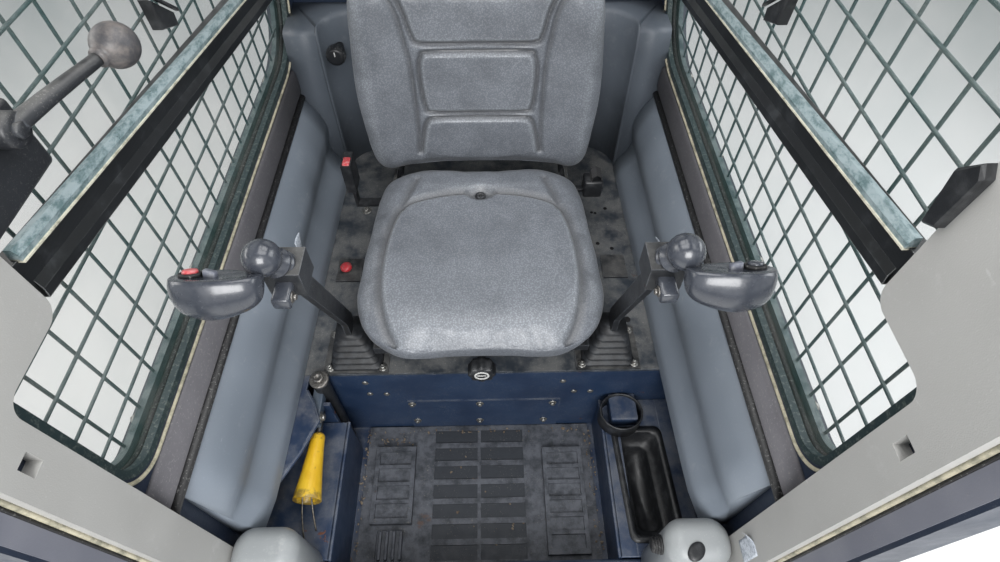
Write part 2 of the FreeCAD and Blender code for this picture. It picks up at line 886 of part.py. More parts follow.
def seat_cushion():
    """The seat cushion, wide at the front and narrow at the rear."""
    body = new_body(0, 0, CUSHION_LOW)
    sketch = new_sketch(body, "XY_Plane")
    half = S.cushion_width / 2
    rear_half = S.cushion_rear_width / 2
    front = CUSHION_FRONT
    rear = front + S.cushion_depth
    loop(sketch, [(-half + 80, front), (half - 80, front), (half, front + 75),
                  (half, front + 170), (rear_half, rear), (-rear_half, rear),
                  (-half, front + 170), (-half, front + 75)])
    pad(body, sketch, S.cushion_height)
    round_edges(body, 40, lambda e: along(e, (0, 0, 1)))
    round_edges(body, S.cushion_round, lambda e: level_at(e, S.cushion_height))
    return node("seat_cushion", body)


def seat_knob():
    """The round adjuster below the front of the cushion."""
    start = CUSHION_FRONT + 14
    z = SEAT_LOW + S.pan_height / 2
    shaft = rod(7, 20, "y", 0, start - 20, z)
    knob = rod(S.knob_radius, S.knob_length, "y", 0, start - 20 - S.knob_length, z)
    return node("seat_knob", fuse(shaft, knob))


def belt_buckle():
    """The belt buckle on its stalk at the left of the seat."""
    half = S.pan_width / 2
    y = CUSHION_FRONT + 424
    foot = box(-half - 89, -half, y, y + 24, SEAT_LOW, SEAT_LOW + 6)
    stalk = box(-half - 89, -half - 83, y, y + 24, SEAT_LOW, SEAT_LOW + 60)
    buckle = box(-half - 97, -half - 75, y - 14, y + 38, SEAT_LOW + 60, SEAT_LOW + 140)
    return node("belt_buckle", fuse(stalk, foot, buckle))


HINGE_Y = CUSHION_FRONT + S.cushion_depth + 42
HINGE_Z = SEAT_LOW + 20


def lean_back(body):
    """Lean a body of the backrest about the hinge."""
    turn = FreeCAD.Rotation(FreeCAD.Vector(1, 0, 0), -float(S.back_lean))
    base = FreeCAD.Vector(0, float(HINGE_Y), float(HINGE_Z))
    body.Placement = FreeCAD.Placement(base, turn)
    for letter, place in zip("xyz", (term(0), HINGE_Y, HINGE_Z)):
        body.setExpression("Placement.Base." + letter, place.text)
    return body


def back_outline(inset):
    """The backrest seen from the front, wide at its middle."""
    low = 22 + inset
    top = S.back_height - inset
    foot = S.back_foot_width / 2 - inset
    half = S.back_width / 2 - inset
    return [(-foot, low), (foot, low), (half, low + 170), (half - 22, low + 340),
            (half - 90, top), (-half + 90, top), (-half + 22, low + 340), (-half, low + 170)]


def backrest_cushion():
    """The backrest's padding."""
    body = lean_back(doc.addObject("PartDesign::Body", "Body"))
    sketch = new_sketch(body, "XZ_Plane", 30 - S.back_thickness)
    loop(sketch, back_outline(term(0)))
    pad(body, sketch, S.back_thickness)
    round_edges(body, 50, lambda e: along(e, (0, 1, 0)))
    return node("backrest_cushion", body)


def backrest_shell():
    """The hard shell behind the padding with its hinge ears."""
    body = lean_back(doc.addObject("PartDesign::Body", "Body"))
    sketch = new_sketch(body, "XZ_Plane", 30 - S.back_thickness - GAP - S.shell_thickness)
    loop(sketch, back_outline(term(24)))
    pad(body, sketch, S.shell_thickness)
    ears = []
    bores = []
    for _, side in SIDES:
        outer = side * (S.pan_width / 2 - S.hinge_ear - S.hinge_clear)
        x = outer - S.hinge_ear if side > 0 else outer
        back = HINGE_Y + S.back_thickness - 30 + GAP
        ears.append(box(x, x + S.hinge_ear, HINGE_Y - 14, back + 14, HINGE_Z - 14, HINGE_Z + 12))
        ears.append(box(x, x + S.hinge_ear, back + 6, back + 14, HINGE_Z + 10, HINGE_Z + 54))
        bores.append(rod(S.hinge_pin + S.pin_fit, S.hinge_ear + 2, "x", x - 1, HINGE_Y, HINGE_Z))
    return node("backrest_shell", cut(fuse(body, *ears), *bores))


def stick_x(side):
    """Where one control stick stands along X."""
    return side * S.stick_spread / 2


STICK_Y = RISER + S.stick_setback
PIVOT_Z = PLATE + S.pivot_height


def stick_socket(name, side):
    """The flange and the two ears that carry one stick's cross."""
    x = stick_x(side)
    half_width = S.flange_width / 2
    half_depth = S.flange_depth / 2
    flange = box(x - half_width, x + half_width, STICK_Y - half_depth, STICK_Y + half_depth,
                 PLATE, PLATE + S.flange_sheet)
    parts = [flange]
    bores = []
    for ear_side in (-1, 1):
        inner = x + ear_side * S.ear_gap / 2
        if ear_side < 0:
            inner = inner - S.ear
        parts.append(box(inner, inner + S.ear, STICK_Y - 13, STICK_Y + 13,
                         PLATE + S.flange_sheet, PIVOT_Z + 14))
        bores.append(rod(S.pin_radius + S.pin_fit, S.ear + 2, "x", inner - 1, STICK_Y, PIVOT_Z))
    return node("stick_socket_" + name, cut(fuse(*parts), *bores))


def stick_gimbal(name, side):
    """The cross whose two pins carry one stick."""
    x = stick_x(side)
    half = S.spider / 2
    block = box(x - half, x + half, STICK_Y - half, STICK_Y + half, PIVOT_Z - half, PIVOT_Z + half)
    reach = S.ear_gap / 2 + S.ear
    pin = rod(S.pin_radius, reach * 2, "x", x - reach, STICK_Y, PIVOT_Z)
    arm = half + 2 + S.fork_leg
    side_pin = rod(S.pin_radius, arm * 2, "y", x, STICK_Y - arm, PIVOT_Z)
    return node("stick_gimbal_" + name, fuse(block, pin, side_pin))


def stick_arm(name, side):
    """One stick's flat arm with the fork around its cross."""
    x = stick_x(side)
    body = new_body(x - S.arm_sheet / 2, STICK_Y, PIVOT_Z)
    sketch = new_sketch(body, "YZ_Plane")
    half = S.arm_width / 2
    rise = S.arm_rise
    forward = S.arm_forward
    loop(sketch, [(-half, 26), (half, 26), (half, 90), (half - forward, rise),
                  (-half - forward, rise), (-half, 100)])
    pad(body, sketch, S.arm_sheet)
    legs = []
    inner = S.spider / 2 + 2
    for leg_side in (-1, 1):
        start = STICK_Y + leg_side * inner
        if leg_side < 0:
            start = start - S.fork_leg
        leg = box(x - 11, x + 11, start, start + S.fork_leg, PIVOT_Z - 11, PIVOT_Z + 30)
        legs.append(cut(leg, rod(S.pin_radius + S.pin_fit, S.fork_leg + 2, "y",
                                 x, start - 1, PIVOT_Z)))
    reach = inner + S.fork_leg
    bridge = box(x - 11, x + 11, STICK_Y - reach, STICK_Y + reach, PIVOT_Z + 22, PIVOT_Z + 30)
    top = PIVOT_Z + rise
    clamp = box(x - 26, x + 26, STICK_Y - forward - 26, STICK_Y - forward + 26, top - 24, top + 24)
    return node("stick_arm_" + name, fuse(body, bridge, clamp, *legs))


def stick_grip(name, side):
    """The rounded grip, which points outwards from the top of the arm."""
    x = stick_x(side) + side * S.grip_outward
    y = STICK_Y - S.arm_forward - S.grip_forward
    z = PIVOT_Z + S.arm_rise + S.grip_rise
    centre = FreeCAD.Vector(float(x), float(y), float(z))
    half = float(S.grip_length) / 2
    profile = [(-half, 0), (-half, 12), (-6, float(S.grip_radius)), (half, 10), (half, 0)]
    points = [centre + FreeCAD.Vector(side * a, 0, b) for a, b in profile]
    outline = Part.Wire([Part.LineSegment(points[0], points[1]).toShape(),
                         Part.Arc(points[1], points[2], points[3]).toShape(),
                         Part.LineSegment(points[3], points[4]).toShape(),
                         Part.LineSegment(points[4], points[0]).toShape()])
    egg = doc.addObject("Part::Feature", "Egg")
    egg.Shape = Part.Face(outline).revolve(centre, FreeCAD.Vector(1, 0, 0), 360)
    neck_feature = doc.addObject("Part::Feature", "Neck")
    top = FreeCAD.Vector(float(stick_x(side) + side * 20), float(y) + 6, float(z) - 4)
    foot = FreeCAD.Vector(float(stick_x(side)), float(STICK_Y - S.arm_forward),
                          float(PIVOT_Z + S.arm_rise) + 24 + 0.2)
    run = top - foot
    neck = Part.makeCylinder(17, run.Length, foot, run)
    slab = Part.makeBox(200, 200, 60, foot - FreeCAD.Vector(100, 100, 60))
    neck_feature.Shape = neck.cut(slab)
    return node("stick_grip_" + name, fuse(egg, neck_feature))


def stick_boot(name, side):
    """The folded rubber boot around one stick's foot."""
    body = new_body(stick_x(side), STICK_Y, PLATE + S.flange_sheet + GAP)
    sketch = new_sketch(body, "XZ_Plane")
    foot, neck = float(S.boot_foot), float(S.boot_neck)
    folds = int(float(S.boot_folds))
    outer = []
    for index in range(folds * 2 + 1):
        share = index / (folds * 2)
        radius = S.boot_foot - (S.boot_foot - S.boot_neck) * share
        if index % 2:
            radius = radius - 5
        outer.append((radius, S.boot_height * share))
    inner = [(radius - S.boot_wall, height) for radius, height in reversed(outer)]
    loop(sketch, outer + inner)
    turned = body.newObject("PartDesign::Revolution", "Revolution")
    turned.Profile = sketch
    turned.ReferenceAxis = (sketch, ["V_Axis"])
    turned.Angle = 360
    return node("stick_boot_" + name, body)


def restraint_brackets():
    """The two plates on the rear frame that carry the restraint bar."""
    pieces = []
    y = PANEL_REAR - S.bar_setback
    z = FLOOR + S.bar_pivot_height
    for _, side in SIDES:
        inner = S.bar_spread / 2 + S.bar_radius + S.bar_clear
        start = inner if side > 0 else -(inner + S.bracket_sheet)
        pieces.append(box(start, start + S.bracket_sheet, y - 26, PANEL_REAR, z - 26, z + 26))
        reach = S.bar_radius + S.bar_clear + S.hub_width / 2 + 4
        begin = start - reach if side > 0 else start + S.bracket_sheet
        pieces.append(rod(S.bar_pin, reach, "x", begin, y, z))
    return node("restraint_brackets", fuse(*pieces))


def restraint_bar():
    """The padded bar that swings down over the operator's lap, parked raised."""
    y = float(PANEL_REAR - S.bar_setback)
    z = float(FLOOR + S.bar_pivot_height)
    angle = math.radians(float(S.bar_raise))
    reach = FreeCAD.Vector(0, -math.cos(angle), math.sin(angle))
    pivot = FreeCAD.Vector(0, y, z)
    half, hand = float(S.bar_spread) / 2, float(S.bar_hand_spread) / 2
    straight, length = float(S.bar_straight), float(S.bar_length)
    across = FreeCAD.Vector(1, 0, 0)
    stations = [(-half, 0), (-half, straight), (-hand, straight + 130), (-hand, length),
                (hand, length), (hand, straight + 130), (half, straight), (half, 0)]
    points = [pivot + across * side + reach * far for side, far in stations]
    route = bent_route(points, float(S.bar_round))
    tube = swept_tube(route, float(S.bar_radius))
    hubs = [Part.makeCylinder(float(S.hub_radius), float(S.hub_width),
                              pivot + across * (side - float(S.hub_width) / 2), across)
            for side in (-half, half)]
    whole = tube.fuse(hubs)
    bore = float(S.bar_pin + S.pin_fit)
    for side in (-half, half):
        whole = whole.cut(Part.makeCylinder(bore, float(S.hub_width) + 2 * float(S.bar_radius),
                                            pivot + across * (side - float(S.hub_width) / 2
                                                              - float(S.bar_radius)), across))
    feature = doc.addObject("Part::Feature", "Bar")
    feature.Shape = whole
    return node("restraint_bar", feature)


def bent_route(points, radius):
    """Straight runs through the points joined by tangent arcs of one radius."""
    edges = []
    start = points[0]
    for before, corner, after in zip(points, points[1:], points[2:]):
        back = (before - corner).normalize()
        ahead = (after - corner).normalize()
        half = back.getAngle(ahead) / 2
        trim = radius / math.tan(half)
        first, last = corner + back * trim, corner + ahead * trim
        middle_way = (back + ahead).normalize()
        middle = corner + middle_way * (radius / math.sin(half) - radius)
        edges.append(Part.LineSegment(start, first).toShape())
        edges.append(Part.Arc(first, middle, last).toShape())
        start = last
    edges.append(Part.LineSegment(start, points[-1]).toShape())
    return Part.Wire(edges)


def swept_tube(route, radius):
    """A round bar along a route."""
    first = route.Edges[0]
    start = first.valueAt(first.FirstParameter)
    heading = first.tangentAt(first.FirstParameter)
    ring = Part.Wire([Part.makeCircle(radius, start, heading)])
    return route.makePipeShell([ring], True, False)


def work_lamps():
    """Two front lamps under the roof's edge and two on the rear wall."""
    pieces = []
    z = ROOF - S.header_height / 2 - S.lamp_height / 2
    for _, side in SIDES:
        x = side * (HALF - S.lamp_inset) - S.lamp_width / 2
        pieces.append(box(x, x + S.lamp_width, FRONT - S.lamp_depth, FRONT, z, z + S.lamp_height))
        pieces.append(box(x, x + S.lamp_width, REAR, REAR + S.lamp_depth, z, z + S.lamp_height))
    return node("work_lamps", fuse(*pieces))


def throttle_lever():
    """The hand lever with its ball, on the left front trim."""
    wall = -(INNER - S.trim_thickness)
    y, z = FRONT + S.trim_bulge - 30, FLOOR + 1085
    hub = rod(16, 26, "x", wall, y, z)
    ball = doc.addObject("Part::Sphere", "Ball")
    bind(ball, Radius=S.lever_ball)
    put(ball, wall + 62, y + 150, z + 6)
    stem = rod(S.lever_rod, 150, "y", wall + 18, y, z)
    reach = rod(S.lever_rod, 44, "x", wall + 18, y + 150, z)
    return node("throttle_lever", fuse(hub, ball, stem, reach))


def control_plates():
    """The two small plates on the deck beside the sticks."""
    pieces = []
    for _, side in SIDES:
        x = side * 325 - 30
        y = RISER + 250
        pieces.append(box(x, x + 60, y, y + 70, PLATE, PLATE + 5))
    return node("control_plates", fuse(*pieces))


def knobs():
    """The red knob on the left plate and the dark knob on the rear lining."""
    red = rod(14, 16, "z", -335, RISER + 278, PLATE + 5)
    dark = rod(22, 14, "z", -362, PANEL_REAR - S.lining_depth - 6, FLOOR + S.lining_height)
    return node("knobs", fuse(red, dark))


base_frame()
floor_pan()
riser_panel()
access_cover()
seat_plate()
front_sill()
door_frame()
build_rear_frame()
rear_glass()
roof_panel()
rear_lining()
floor_mat()
foot_blocks()
cup_tray()
hold_down_post()
lock_sleeve()
lock_bracket()
seat_base()
seat_pan()
seat_cushion()
seat_knob()
belt_buckle()
backrest_cushion()
backrest_shell()
restraint_brackets()
restraint_bar()
work_lamps()
throttle_lever()
control_plates()
knobs()
for name, side in SIDES:
    side_panel(name, side)
    side_screen(name, side)
    side_glass(name, side)
    window_rail(name, side)
    window_seal(name, side)
    side_pad(name, side)
    front_trim(name, side)
    knee_bulb(name, side)
    stick_socket(name, side)
    stick_gimbal(name, side)
    stick_arm(name, side)
    stick_grip(name, side)
    stick_boot(name, side)

doc.recompute()
for item in doc.Objects:
    if "Invalid" in item.State or "Error" in item.State:
        raise RuntimeError("%s failed: %s" % (item.Label, item.State))
for name, feature in nodes.items():
    if feature.Shape.isNull() or not feature.Shape.isValid():
        raise RuntimeError(name + " has no valid shape")

os.makedirs("parts", exist_ok=True)
for name, feature in nodes.items():
    feature.Shape.exportStep("parts/%s.step" % name)
print(len(nodes), "sub-parts")
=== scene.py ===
import math
import random

import bmesh
import bpy
import numpy as np
from mathutils import Matrix, Vector
from mathutils.bvhtree import BVHTree


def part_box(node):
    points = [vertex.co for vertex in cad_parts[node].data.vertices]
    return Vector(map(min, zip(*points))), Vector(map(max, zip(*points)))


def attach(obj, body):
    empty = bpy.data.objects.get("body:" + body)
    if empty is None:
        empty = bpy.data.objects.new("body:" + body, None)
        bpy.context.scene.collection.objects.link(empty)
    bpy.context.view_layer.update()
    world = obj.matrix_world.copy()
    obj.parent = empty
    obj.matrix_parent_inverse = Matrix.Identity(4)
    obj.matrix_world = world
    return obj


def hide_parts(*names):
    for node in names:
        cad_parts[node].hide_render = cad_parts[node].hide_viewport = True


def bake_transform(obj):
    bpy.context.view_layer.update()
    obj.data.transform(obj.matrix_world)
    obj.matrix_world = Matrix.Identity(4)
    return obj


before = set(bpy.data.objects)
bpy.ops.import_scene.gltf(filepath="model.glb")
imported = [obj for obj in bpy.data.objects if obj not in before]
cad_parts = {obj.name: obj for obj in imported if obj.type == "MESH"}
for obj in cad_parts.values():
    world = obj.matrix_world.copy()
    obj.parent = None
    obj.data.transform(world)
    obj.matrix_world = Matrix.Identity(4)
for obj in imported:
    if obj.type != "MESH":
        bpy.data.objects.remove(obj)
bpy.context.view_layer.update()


# Camera, floor and lamps. The camera stands just outside the doorway, a little below the
# header, and looks steeply down at the seat. The roof keeps light out, so soft lamps stand
# before the door, beside both windows, under the roof and high above, out of its sight.
EYE = Vector((0.0215, -0.771, 1.456))
EYE_DOWN, EYE_TURN, EYE_ROLL = (math.radians(angle) for angle in (53.23, 1.46, -0.32))
EYE_LENS = 20.48

ahead = Vector((math.sin(EYE_TURN) * math.cos(EYE_DOWN),
                math.cos(EYE_TURN) * math.cos(EYE_DOWN), -math.sin(EYE_DOWN)))
across = Vector((math.cos(EYE_TURN), -math.sin(EYE_TURN), 0))
below = ahead.cross(across)
level, rolled = math.cos(EYE_ROLL), math.sin(EYE_ROLL)
picture_right = level * across + rolled * below
picture_down = level * below - rolled * across
eye_data = bpy.data.cameras.new("eye")
eye_data.lens = EYE_LENS
eye_data.sensor_width = 36
eye_data.clip_start = 0.02
eye = bpy.data.objects.new("eye", eye_data)
bpy.context.collection.objects.link(eye)
eye.matrix_world = Matrix.Translation(EYE) @ Matrix(
    (picture_right, -picture_down, -ahead)).transposed().to_4x4()
bpy.context.scene.camera = eye
bpy.context.scene.view_settings.view_transform = "Standard"


def soft_lamp(name, place, aim, width, height, watts, colour=(1, 1, 1)):
    """A rectangular studio lamp that points at a spot and stays out of the picture."""
    light = bpy.data.lights.new(name, "AREA")
    light.shape = "RECTANGLE"
    light.size, light.size_y = width, height
    light.energy = watts
    light.color = colour
    lamp = bpy.data.objects.new(name, light)
    lamp.visible_camera = False
    bpy.context.collection.objects.link(lamp)
    lamp.location = place
    lamp.rotation_euler = (Vector(aim) - Vector(place)).to_track_quat("-Z", "Y").to_euler()


soft_lamp("door_lamp", (0.1, -2.3, 2.1), (0, 0, 0.5), 1.5, 1.3, 72)
soft_lamp("left_lamp", (-2.1, 0.1, 1.7), (0, 0, 0.5), 1.6, 1.1, 30, (1.0, 0.98, 0.95))
soft_lamp("right_lamp", (2.1, 0.2, 1.8), (0, 0, 0.5), 1.6, 1.1, 36, (0.95, 0.98, 1.0))
soft_lamp("roof_lamp", (0, -0.1, 1.54), (0, -0.1, 0), 0.6, 0.8, 6.5)
soft_lamp("high_lamp", (0.6, -0.6, 3.4), (0, 0, 0.8), 2.4, 2.4, 55)

studio = bpy.data.worlds.new("studio")
bpy.context.scene.world = studio
studio.use_nodes = True
sky = studio.node_tree
sky_out = next(item for item in sky.nodes if item.type == "OUTPUT_WORLD")
sky_light = next(item for item in sky.nodes if item.type == "BACKGROUND")
sky_light.inputs["Color"].default_value = (0.86, 0.93, 1.0, 1)
sky_light.inputs["Strength"].default_value = 0.34
sky_seen = sky.nodes.new("ShaderNodeBackground")
sky_seen.inputs["Color"].default_value = (0.93, 0.94, 0.95, 1)
sky_ray = sky.nodes.new("ShaderNodeLightPath").outputs
sky_pick = sky.nodes.new("ShaderNodeMixShader")
sky_any, sky_all = (sky.nodes.new("ShaderNodeMath") for _ in range(2))
sky_any.operation = sky_all.operation = "MAXIMUM"
for source, target in ((sky_ray["Is Camera Ray"], sky_any.inputs[0]),
                       (sky_ray["Is Glossy Ray"], sky_any.inputs[1]),
                       (sky_any.outputs[0], sky_all.inputs[0]),
                       (sky_ray["Is Transmission Ray"], sky_all.inputs[1]),
                       (sky_all.outputs[0], sky_pick.inputs[0]),
                       (sky_light.outputs[0], sky_pick.inputs[1]),
                       (sky_seen.outputs[0], sky_pick.inputs[2]),
                       (sky_pick.outputs[0], sky_out.inputs["Surface"])):
    sky.links.new(source, target)


class Finish:
    """One surface finish built from shader nodes, laid out in the part's own metres."""

    def __init__(self, name, rough=0.5, metal=0.0, **sockets):
        self.material = bpy.data.materials.new(name)
        self.material.use_nodes = True
        self.tree = self.material.node_tree
        self.shader = next(item for item in self.tree.nodes if item.type == "BSDF_PRINCIPLED")
        self.place = self.add("ShaderNodeTexCoord").outputs["Object"]
        self.shader.inputs["Roughness"].default_value = rough
        self.shader.inputs["Metallic"].default_value = metal
        for socket, value in sockets.items():
            self.shader.inputs[socket.replace("_", " ")].default_value = value

    def add(self, kind, **settings):
        item = self.tree.nodes.new(kind)
        for setting, value in settings.items():
            setattr(item, setting, value)
        return item

    def feed(self, socket, value):
        if isinstance(value, bpy.types.NodeSocket):
            self.tree.links.new(value, socket)
        elif isinstance(value, tuple) and len(value) == 3:
            socket.default_value = (*value, 1)
        else:
            socket.default_value = value

    def noise(self, size, detail=3, rough=0.6, stretch=(1, 1, 1)):
        """Cloudy pattern with patches about this many metres wide."""
        mapping = self.add("ShaderNodeMapping")
        self.feed(mapping.inputs["Vector"], self.place)
        mapping.inputs["Scale"].default_value = stretch
        item = self.add("ShaderNodeTexNoise")
        self.feed(item.inputs["Vector"], mapping.outputs[0])
        item.inputs["Scale"].default_value = 1 / size
        item.inputs["Detail"].default_value = detail
        item.inputs["Roughness"].default_value = rough
        return item.outputs["Fac"]

    def cells(self, size, feature="F1"):
        """Distance to the middle of pebbles about this many metres wide."""
        item = self.add("ShaderNodeTexVoronoi", feature=feature)
        self.feed(item.inputs["Vector"], self.place)
        item.inputs["Scale"].default_value = 1 / size
        return item.outputs["Distance"]

    def along(self, axis):
        """The place along one of the part's axes, X, Y or Z, in metres."""
        item = self.add("ShaderNodeSeparateXYZ")
        self.feed(item.inputs[0], self.place)
        return item.outputs[axis]

    def span(self, value, low, high):
        """0 below one value, 1 above another and smooth between them."""
        item = self.add("ShaderNodeMapRange", interpolation_type="SMOOTHSTEP")
        self.feed(item.inputs["Value"], value)
        item.inputs["From Min"].default_value = low
        item.inputs["From Max"].default_value = high
        return item.outputs["Result"]

    def math(self, kind, first, second):
        item = self.add("ShaderNodeMath", operation=kind)
        self.feed(item.inputs[0], first)
        self.feed(item.inputs[1], second)
        return item.outputs[0]

    def times(self, *values):
        result = values[0]
        for value in values[1:]:
            result = self.math("MULTIPLY", result, value)
        return result

    def mix(self, share, first, second):
        item = self.add("ShaderNodeMix", data_type="RGBA")
        self.feed(item.inputs[0], share)
        self.feed(item.inputs[6], first)
        self.feed(item.inputs[7], second)
        return item.outputs[2]

    def patchy(self, patches, blend, first, second):
        """Two tones in patches. The patches are noise's arguments, the blend span's limits."""
        return self.mix(self.span(self.noise(*patches), *blend), first, second)

    def upward(self):
        """How far the surface faces up, for dust that settles."""
        item = self.add("ShaderNodeSeparateXYZ")
        self.feed(item.inputs[0], self.add("ShaderNodeNewGeometry").outputs["Normal"])
        return item.outputs["Z"]

    def edges(self, reach):
        """1 on worn edges and 0 on open faces."""
        bevel = self.add("ShaderNodeBevel", samples=2)
        bevel.inputs["Radius"].default_value = reach
        dot = self.add("ShaderNodeVectorMath", operation="DOT_PRODUCT")
        self.feed(dot.inputs[0], bevel.outputs[0])
        self.feed(dot.inputs[1], self.add("ShaderNodeNewGeometry").outputs["Normal"])
        return self.span(self.math("SUBTRACT", 1.0, dot.outputs["Value"]), 0.02, 0.16)

    def stored(self, name):
        """A value stored on the piece's own points."""
        return self.add("ShaderNodeAttribute", attribute_name=name).outputs["Fac"]

    def colour(self, value):
        self.feed(self.shader.inputs["Base Color"], value)

    def gloss(self, value):
        self.feed(self.shader.inputs["Roughness"], value)

    def uneven_gloss(self, patches, swing, base):
        """A roughness from a base value up, in patches."""
        self.gloss(self.math("ADD", self.times(self.noise(*patches), swing), base))

    def relief(self, *layers):
        """Bumps, each a height pattern with its depth in metres."""
        normal = None
        for height, depth in layers:
            item = self.add("ShaderNodeBump")
            item.inputs["Distance"].default_value = depth
            self.feed(item.inputs["Height"], height)
            if normal is not None:
                self.feed(item.inputs["Normal"], normal)
            normal = item.outputs[0]
        self.feed(self.shader.inputs["Normal"], normal)


studio_floor_finish = Finish("studio_floor", rough=0.8)
studio_floor_finish.colour(studio_floor_finish.mix(
    studio_floor_finish.noise(0.4), (0.70, 0.70, 0.69), (0.74, 0.74, 0.73)))
floor_mesh = bpy.data.meshes.new("studio_floor")
floor_mesh.from_pydata([(-9, -9, 0), (9, -9, 0), (9, 9, 0), (-9, 9, 0)], [], [(0, 1, 2, 3)])
floor_mesh.materials.append(studio_floor_finish.material)
studio_floor = bpy.data.objects.new("studio_floor", floor_mesh)
bpy.context.collection.objects.link(studio_floor)


# Base frame. Two rails and three cross members of welded box steel, painted black, with the
# two bolt holes at the front and the pivot holes at the rear.
STEEL_BLACK = (0.012, 0.013, 0.015)
DUST = (0.25, 0.245, 0.23)
RUST = (0.135, 0.045, 0.016)
BARE = (0.24, 0.26, 0.29)


def dress(finish, *names):
    """Give solids of the model their finish."""
    for name in names:
        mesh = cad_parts[name].data
        mesh.materials.clear()
        mesh.materials.append(finish.material)


def painted_steel(name, colour, light, speckled=0.3, settled=0.2, rusty=0.4, worn=0.5):
    """Sprayed steel paint with pale flecks, dust where it faces up, rubbed edges and rust."""
    finish = Finish(name, rough=0.45)
    paint = finish.patchy((0.14, 2), (0.35, 0.65), colour, light)
    flecks = finish.span(finish.noise(0.0042, 3, 0.75), 0.60, 0.72)
    splashes = finish.span(finish.noise(0.0016, 2), 0.62, 0.70)
    clouds = finish.span(finish.noise(0.07, 4, 0.7), 0.34, 0.66)
    flecks = finish.times(finish.math("MAXIMUM", flecks, splashes), clouds, speckled)
    paint = finish.mix(flecks, paint, DUST)
    film = finish.times(finish.span(finish.upward(), 0.3, 0.95), clouds, settled)
    paint = finish.mix(film, paint, DUST)
    if worn:
        rubbed = finish.times(finish.edges(0.003), finish.span(finish.noise(0.03, 3), 0.40, 0.60))
        paint = finish.mix(finish.times(rubbed, worn), paint, BARE)
    rust = finish.span(finish.noise(0.05, 5, 0.75), 0.665, 0.70)
    paint = finish.mix(finish.times(rust, rusty), paint, RUST)
    finish.colour(paint)
    rough = finish.math("ADD", finish.times(finish.noise(0.03), 0.30), 0.25)
    finish.gloss(finish.math("ADD", rough, finish.math("ADD", film, finish.times(rust, 0.3))))
    finish.relief((finish.noise(0.0030, 2), 0.00012), (finish.noise(0.06, 2), 0.0006),
                  (finish.math("ADD", flecks, rust), 0.00025))
    return finish


frame_paint = painted_steel("frame_paint", STEEL_BLACK, (0.02, 0.021, 0.024), worn=0)
dress(frame_paint, "base_frame")


# Shell of the cab. Posts, header, rear frame, side walls and pressed roof are welded sheet
# and tube in dark navy paint, dusty and chipped from site work, with rippled weld beads
# where the walls meet the posts and at the posts' feet.
shell_paint = painted_steel("shell_paint", (0.014, 0.021, 0.040), (0.018, 0.028, 0.052),
                            0.25, 0.22, 0.25, 0)
dress(shell_paint, "door_frame", "rear_frame", "side_panel_left", "side_panel_right",
      "roof_panel")


def new_piece(name, work, finish, body="cab", smooth=True):
    """Turn a finished bmesh into a piece that rides on a body."""
    bmesh.ops.recalc_face_normals(work, faces=work.faces[:])
    mesh = bpy.data.meshes.new(name)
    work.to_mesh(mesh)
    work.free()
    for face in mesh.polygons:
        face.use_smooth = smooth
    mesh.materials.append(finish.material)
    item = bpy.data.objects.new(name, mesh)
    bpy.context.collection.objects.link(item)
    if body:
        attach(item, body)
    return item


def lofted(work, rings):
    """Skin closed rings of the same number of points one after another, and cap both ends."""
    rings = [[work.verts.new(point) for point in ring] for ring in rings]
    for first, second in zip(rings, rings[1:]):
        for step in range(len(first)):
            after = (step + 1) % len(first)
            work.faces.new((first[step], first[after], second[after], second[step]))
    work.faces.new(rings[0][::-1])
    work.faces.new(rings[-1])


def tube(work, line, radius, sides=8, lead=None):
    """A round bar through points. The radius is one number, or one for each point."""
    line = [Vector(point) for point in line]
    radii = radius if isinstance(radius, (list, tuple)) else [radius] * len(line)
    side = (line[1] - line[0]).orthogonal() if lead is None else Vector(lead)
    rings = []
    for index, point in enumerate(line):
        run = line[min(index + 1, len(line) - 1)] - line[max(index - 1, 0)]
        run.normalize()
        side = (side - run * side.dot(run)).normalized()
        other = run.cross(side)
        rings.append([point + radii[index] * (
            side * math.cos(2 * math.pi * step / sides)
            + other * math.sin(2 * math.pi * step / sides)) for step in range(sides)])
    lofted(work, rings)


def weld_bead(work, start, end, radius=0.0035, ripple=0.004):
    """A weld seam whose thickness ripples with each drop."""
    start, end = Vector(start), Vector(end)
    count = max(int((end - start).length / ripple), 4)
    line = [start.lerp(end, step / count) for step in range(count + 1)]
    radii = [radius * (1 + 0.16 * (step % 2) + 0.08 * math.sin(step * 1.7))
             for step in range(count + 1)]
    tube(work, line, radii, 6)


wall_low, wall_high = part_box("side_panel_right")
INNER = wall_low.x
SEAM_X, SEAM_HEIGHTS = wall_high.x - 0.0005, ((0.09, 0.52), (1.02, 1.50))
seams = bmesh.new()
for side in (-1, 1):
    for y in (wall_low.y, wall_high.y):
        for foot, top in SEAM_HEIGHTS:
            weld_bead(seams, (side * SEAM_X, y, foot), (side * SEAM_X, y, top))
new_piece("wall_seams", seams, shell_paint)


# Floor, riser, cover, sill and lock bracket. Folded navy sheet, rubbed bright on the folds by
# boots, with rust where the paint has lifted and pale splashes of dried mud.
navy_paint = painted_steel("navy_paint", (0.013, 0.027, 0.062), (0.019, 0.038, 0.082),
                           0.55, 0.30, 0.9, 0.6)
dress(navy_paint, "riser_panel", "access_cover", "front_sill", "lock_bracket", "floor_pan")


def slab(work, low, high, edge=0.002):
    """A solid between two corners with eased edges."""
    made = bmesh.ops.create_cube(work, size=1.0)
    low, high = Vector(low), Vector(high)
    for corner in made["verts"]:
        corner.co = Vector((low[axis] + (corner.co[axis] + 0.5) * (high[axis] - low[axis])
                            for axis in range(3)))
    lines = {line for corner in made["verts"] for line in corner.link_edges}
    bmesh.ops.bevel(work, geom=list(lines), offset=edge, segments=2, profile=0.5,
                    affect="EDGES")


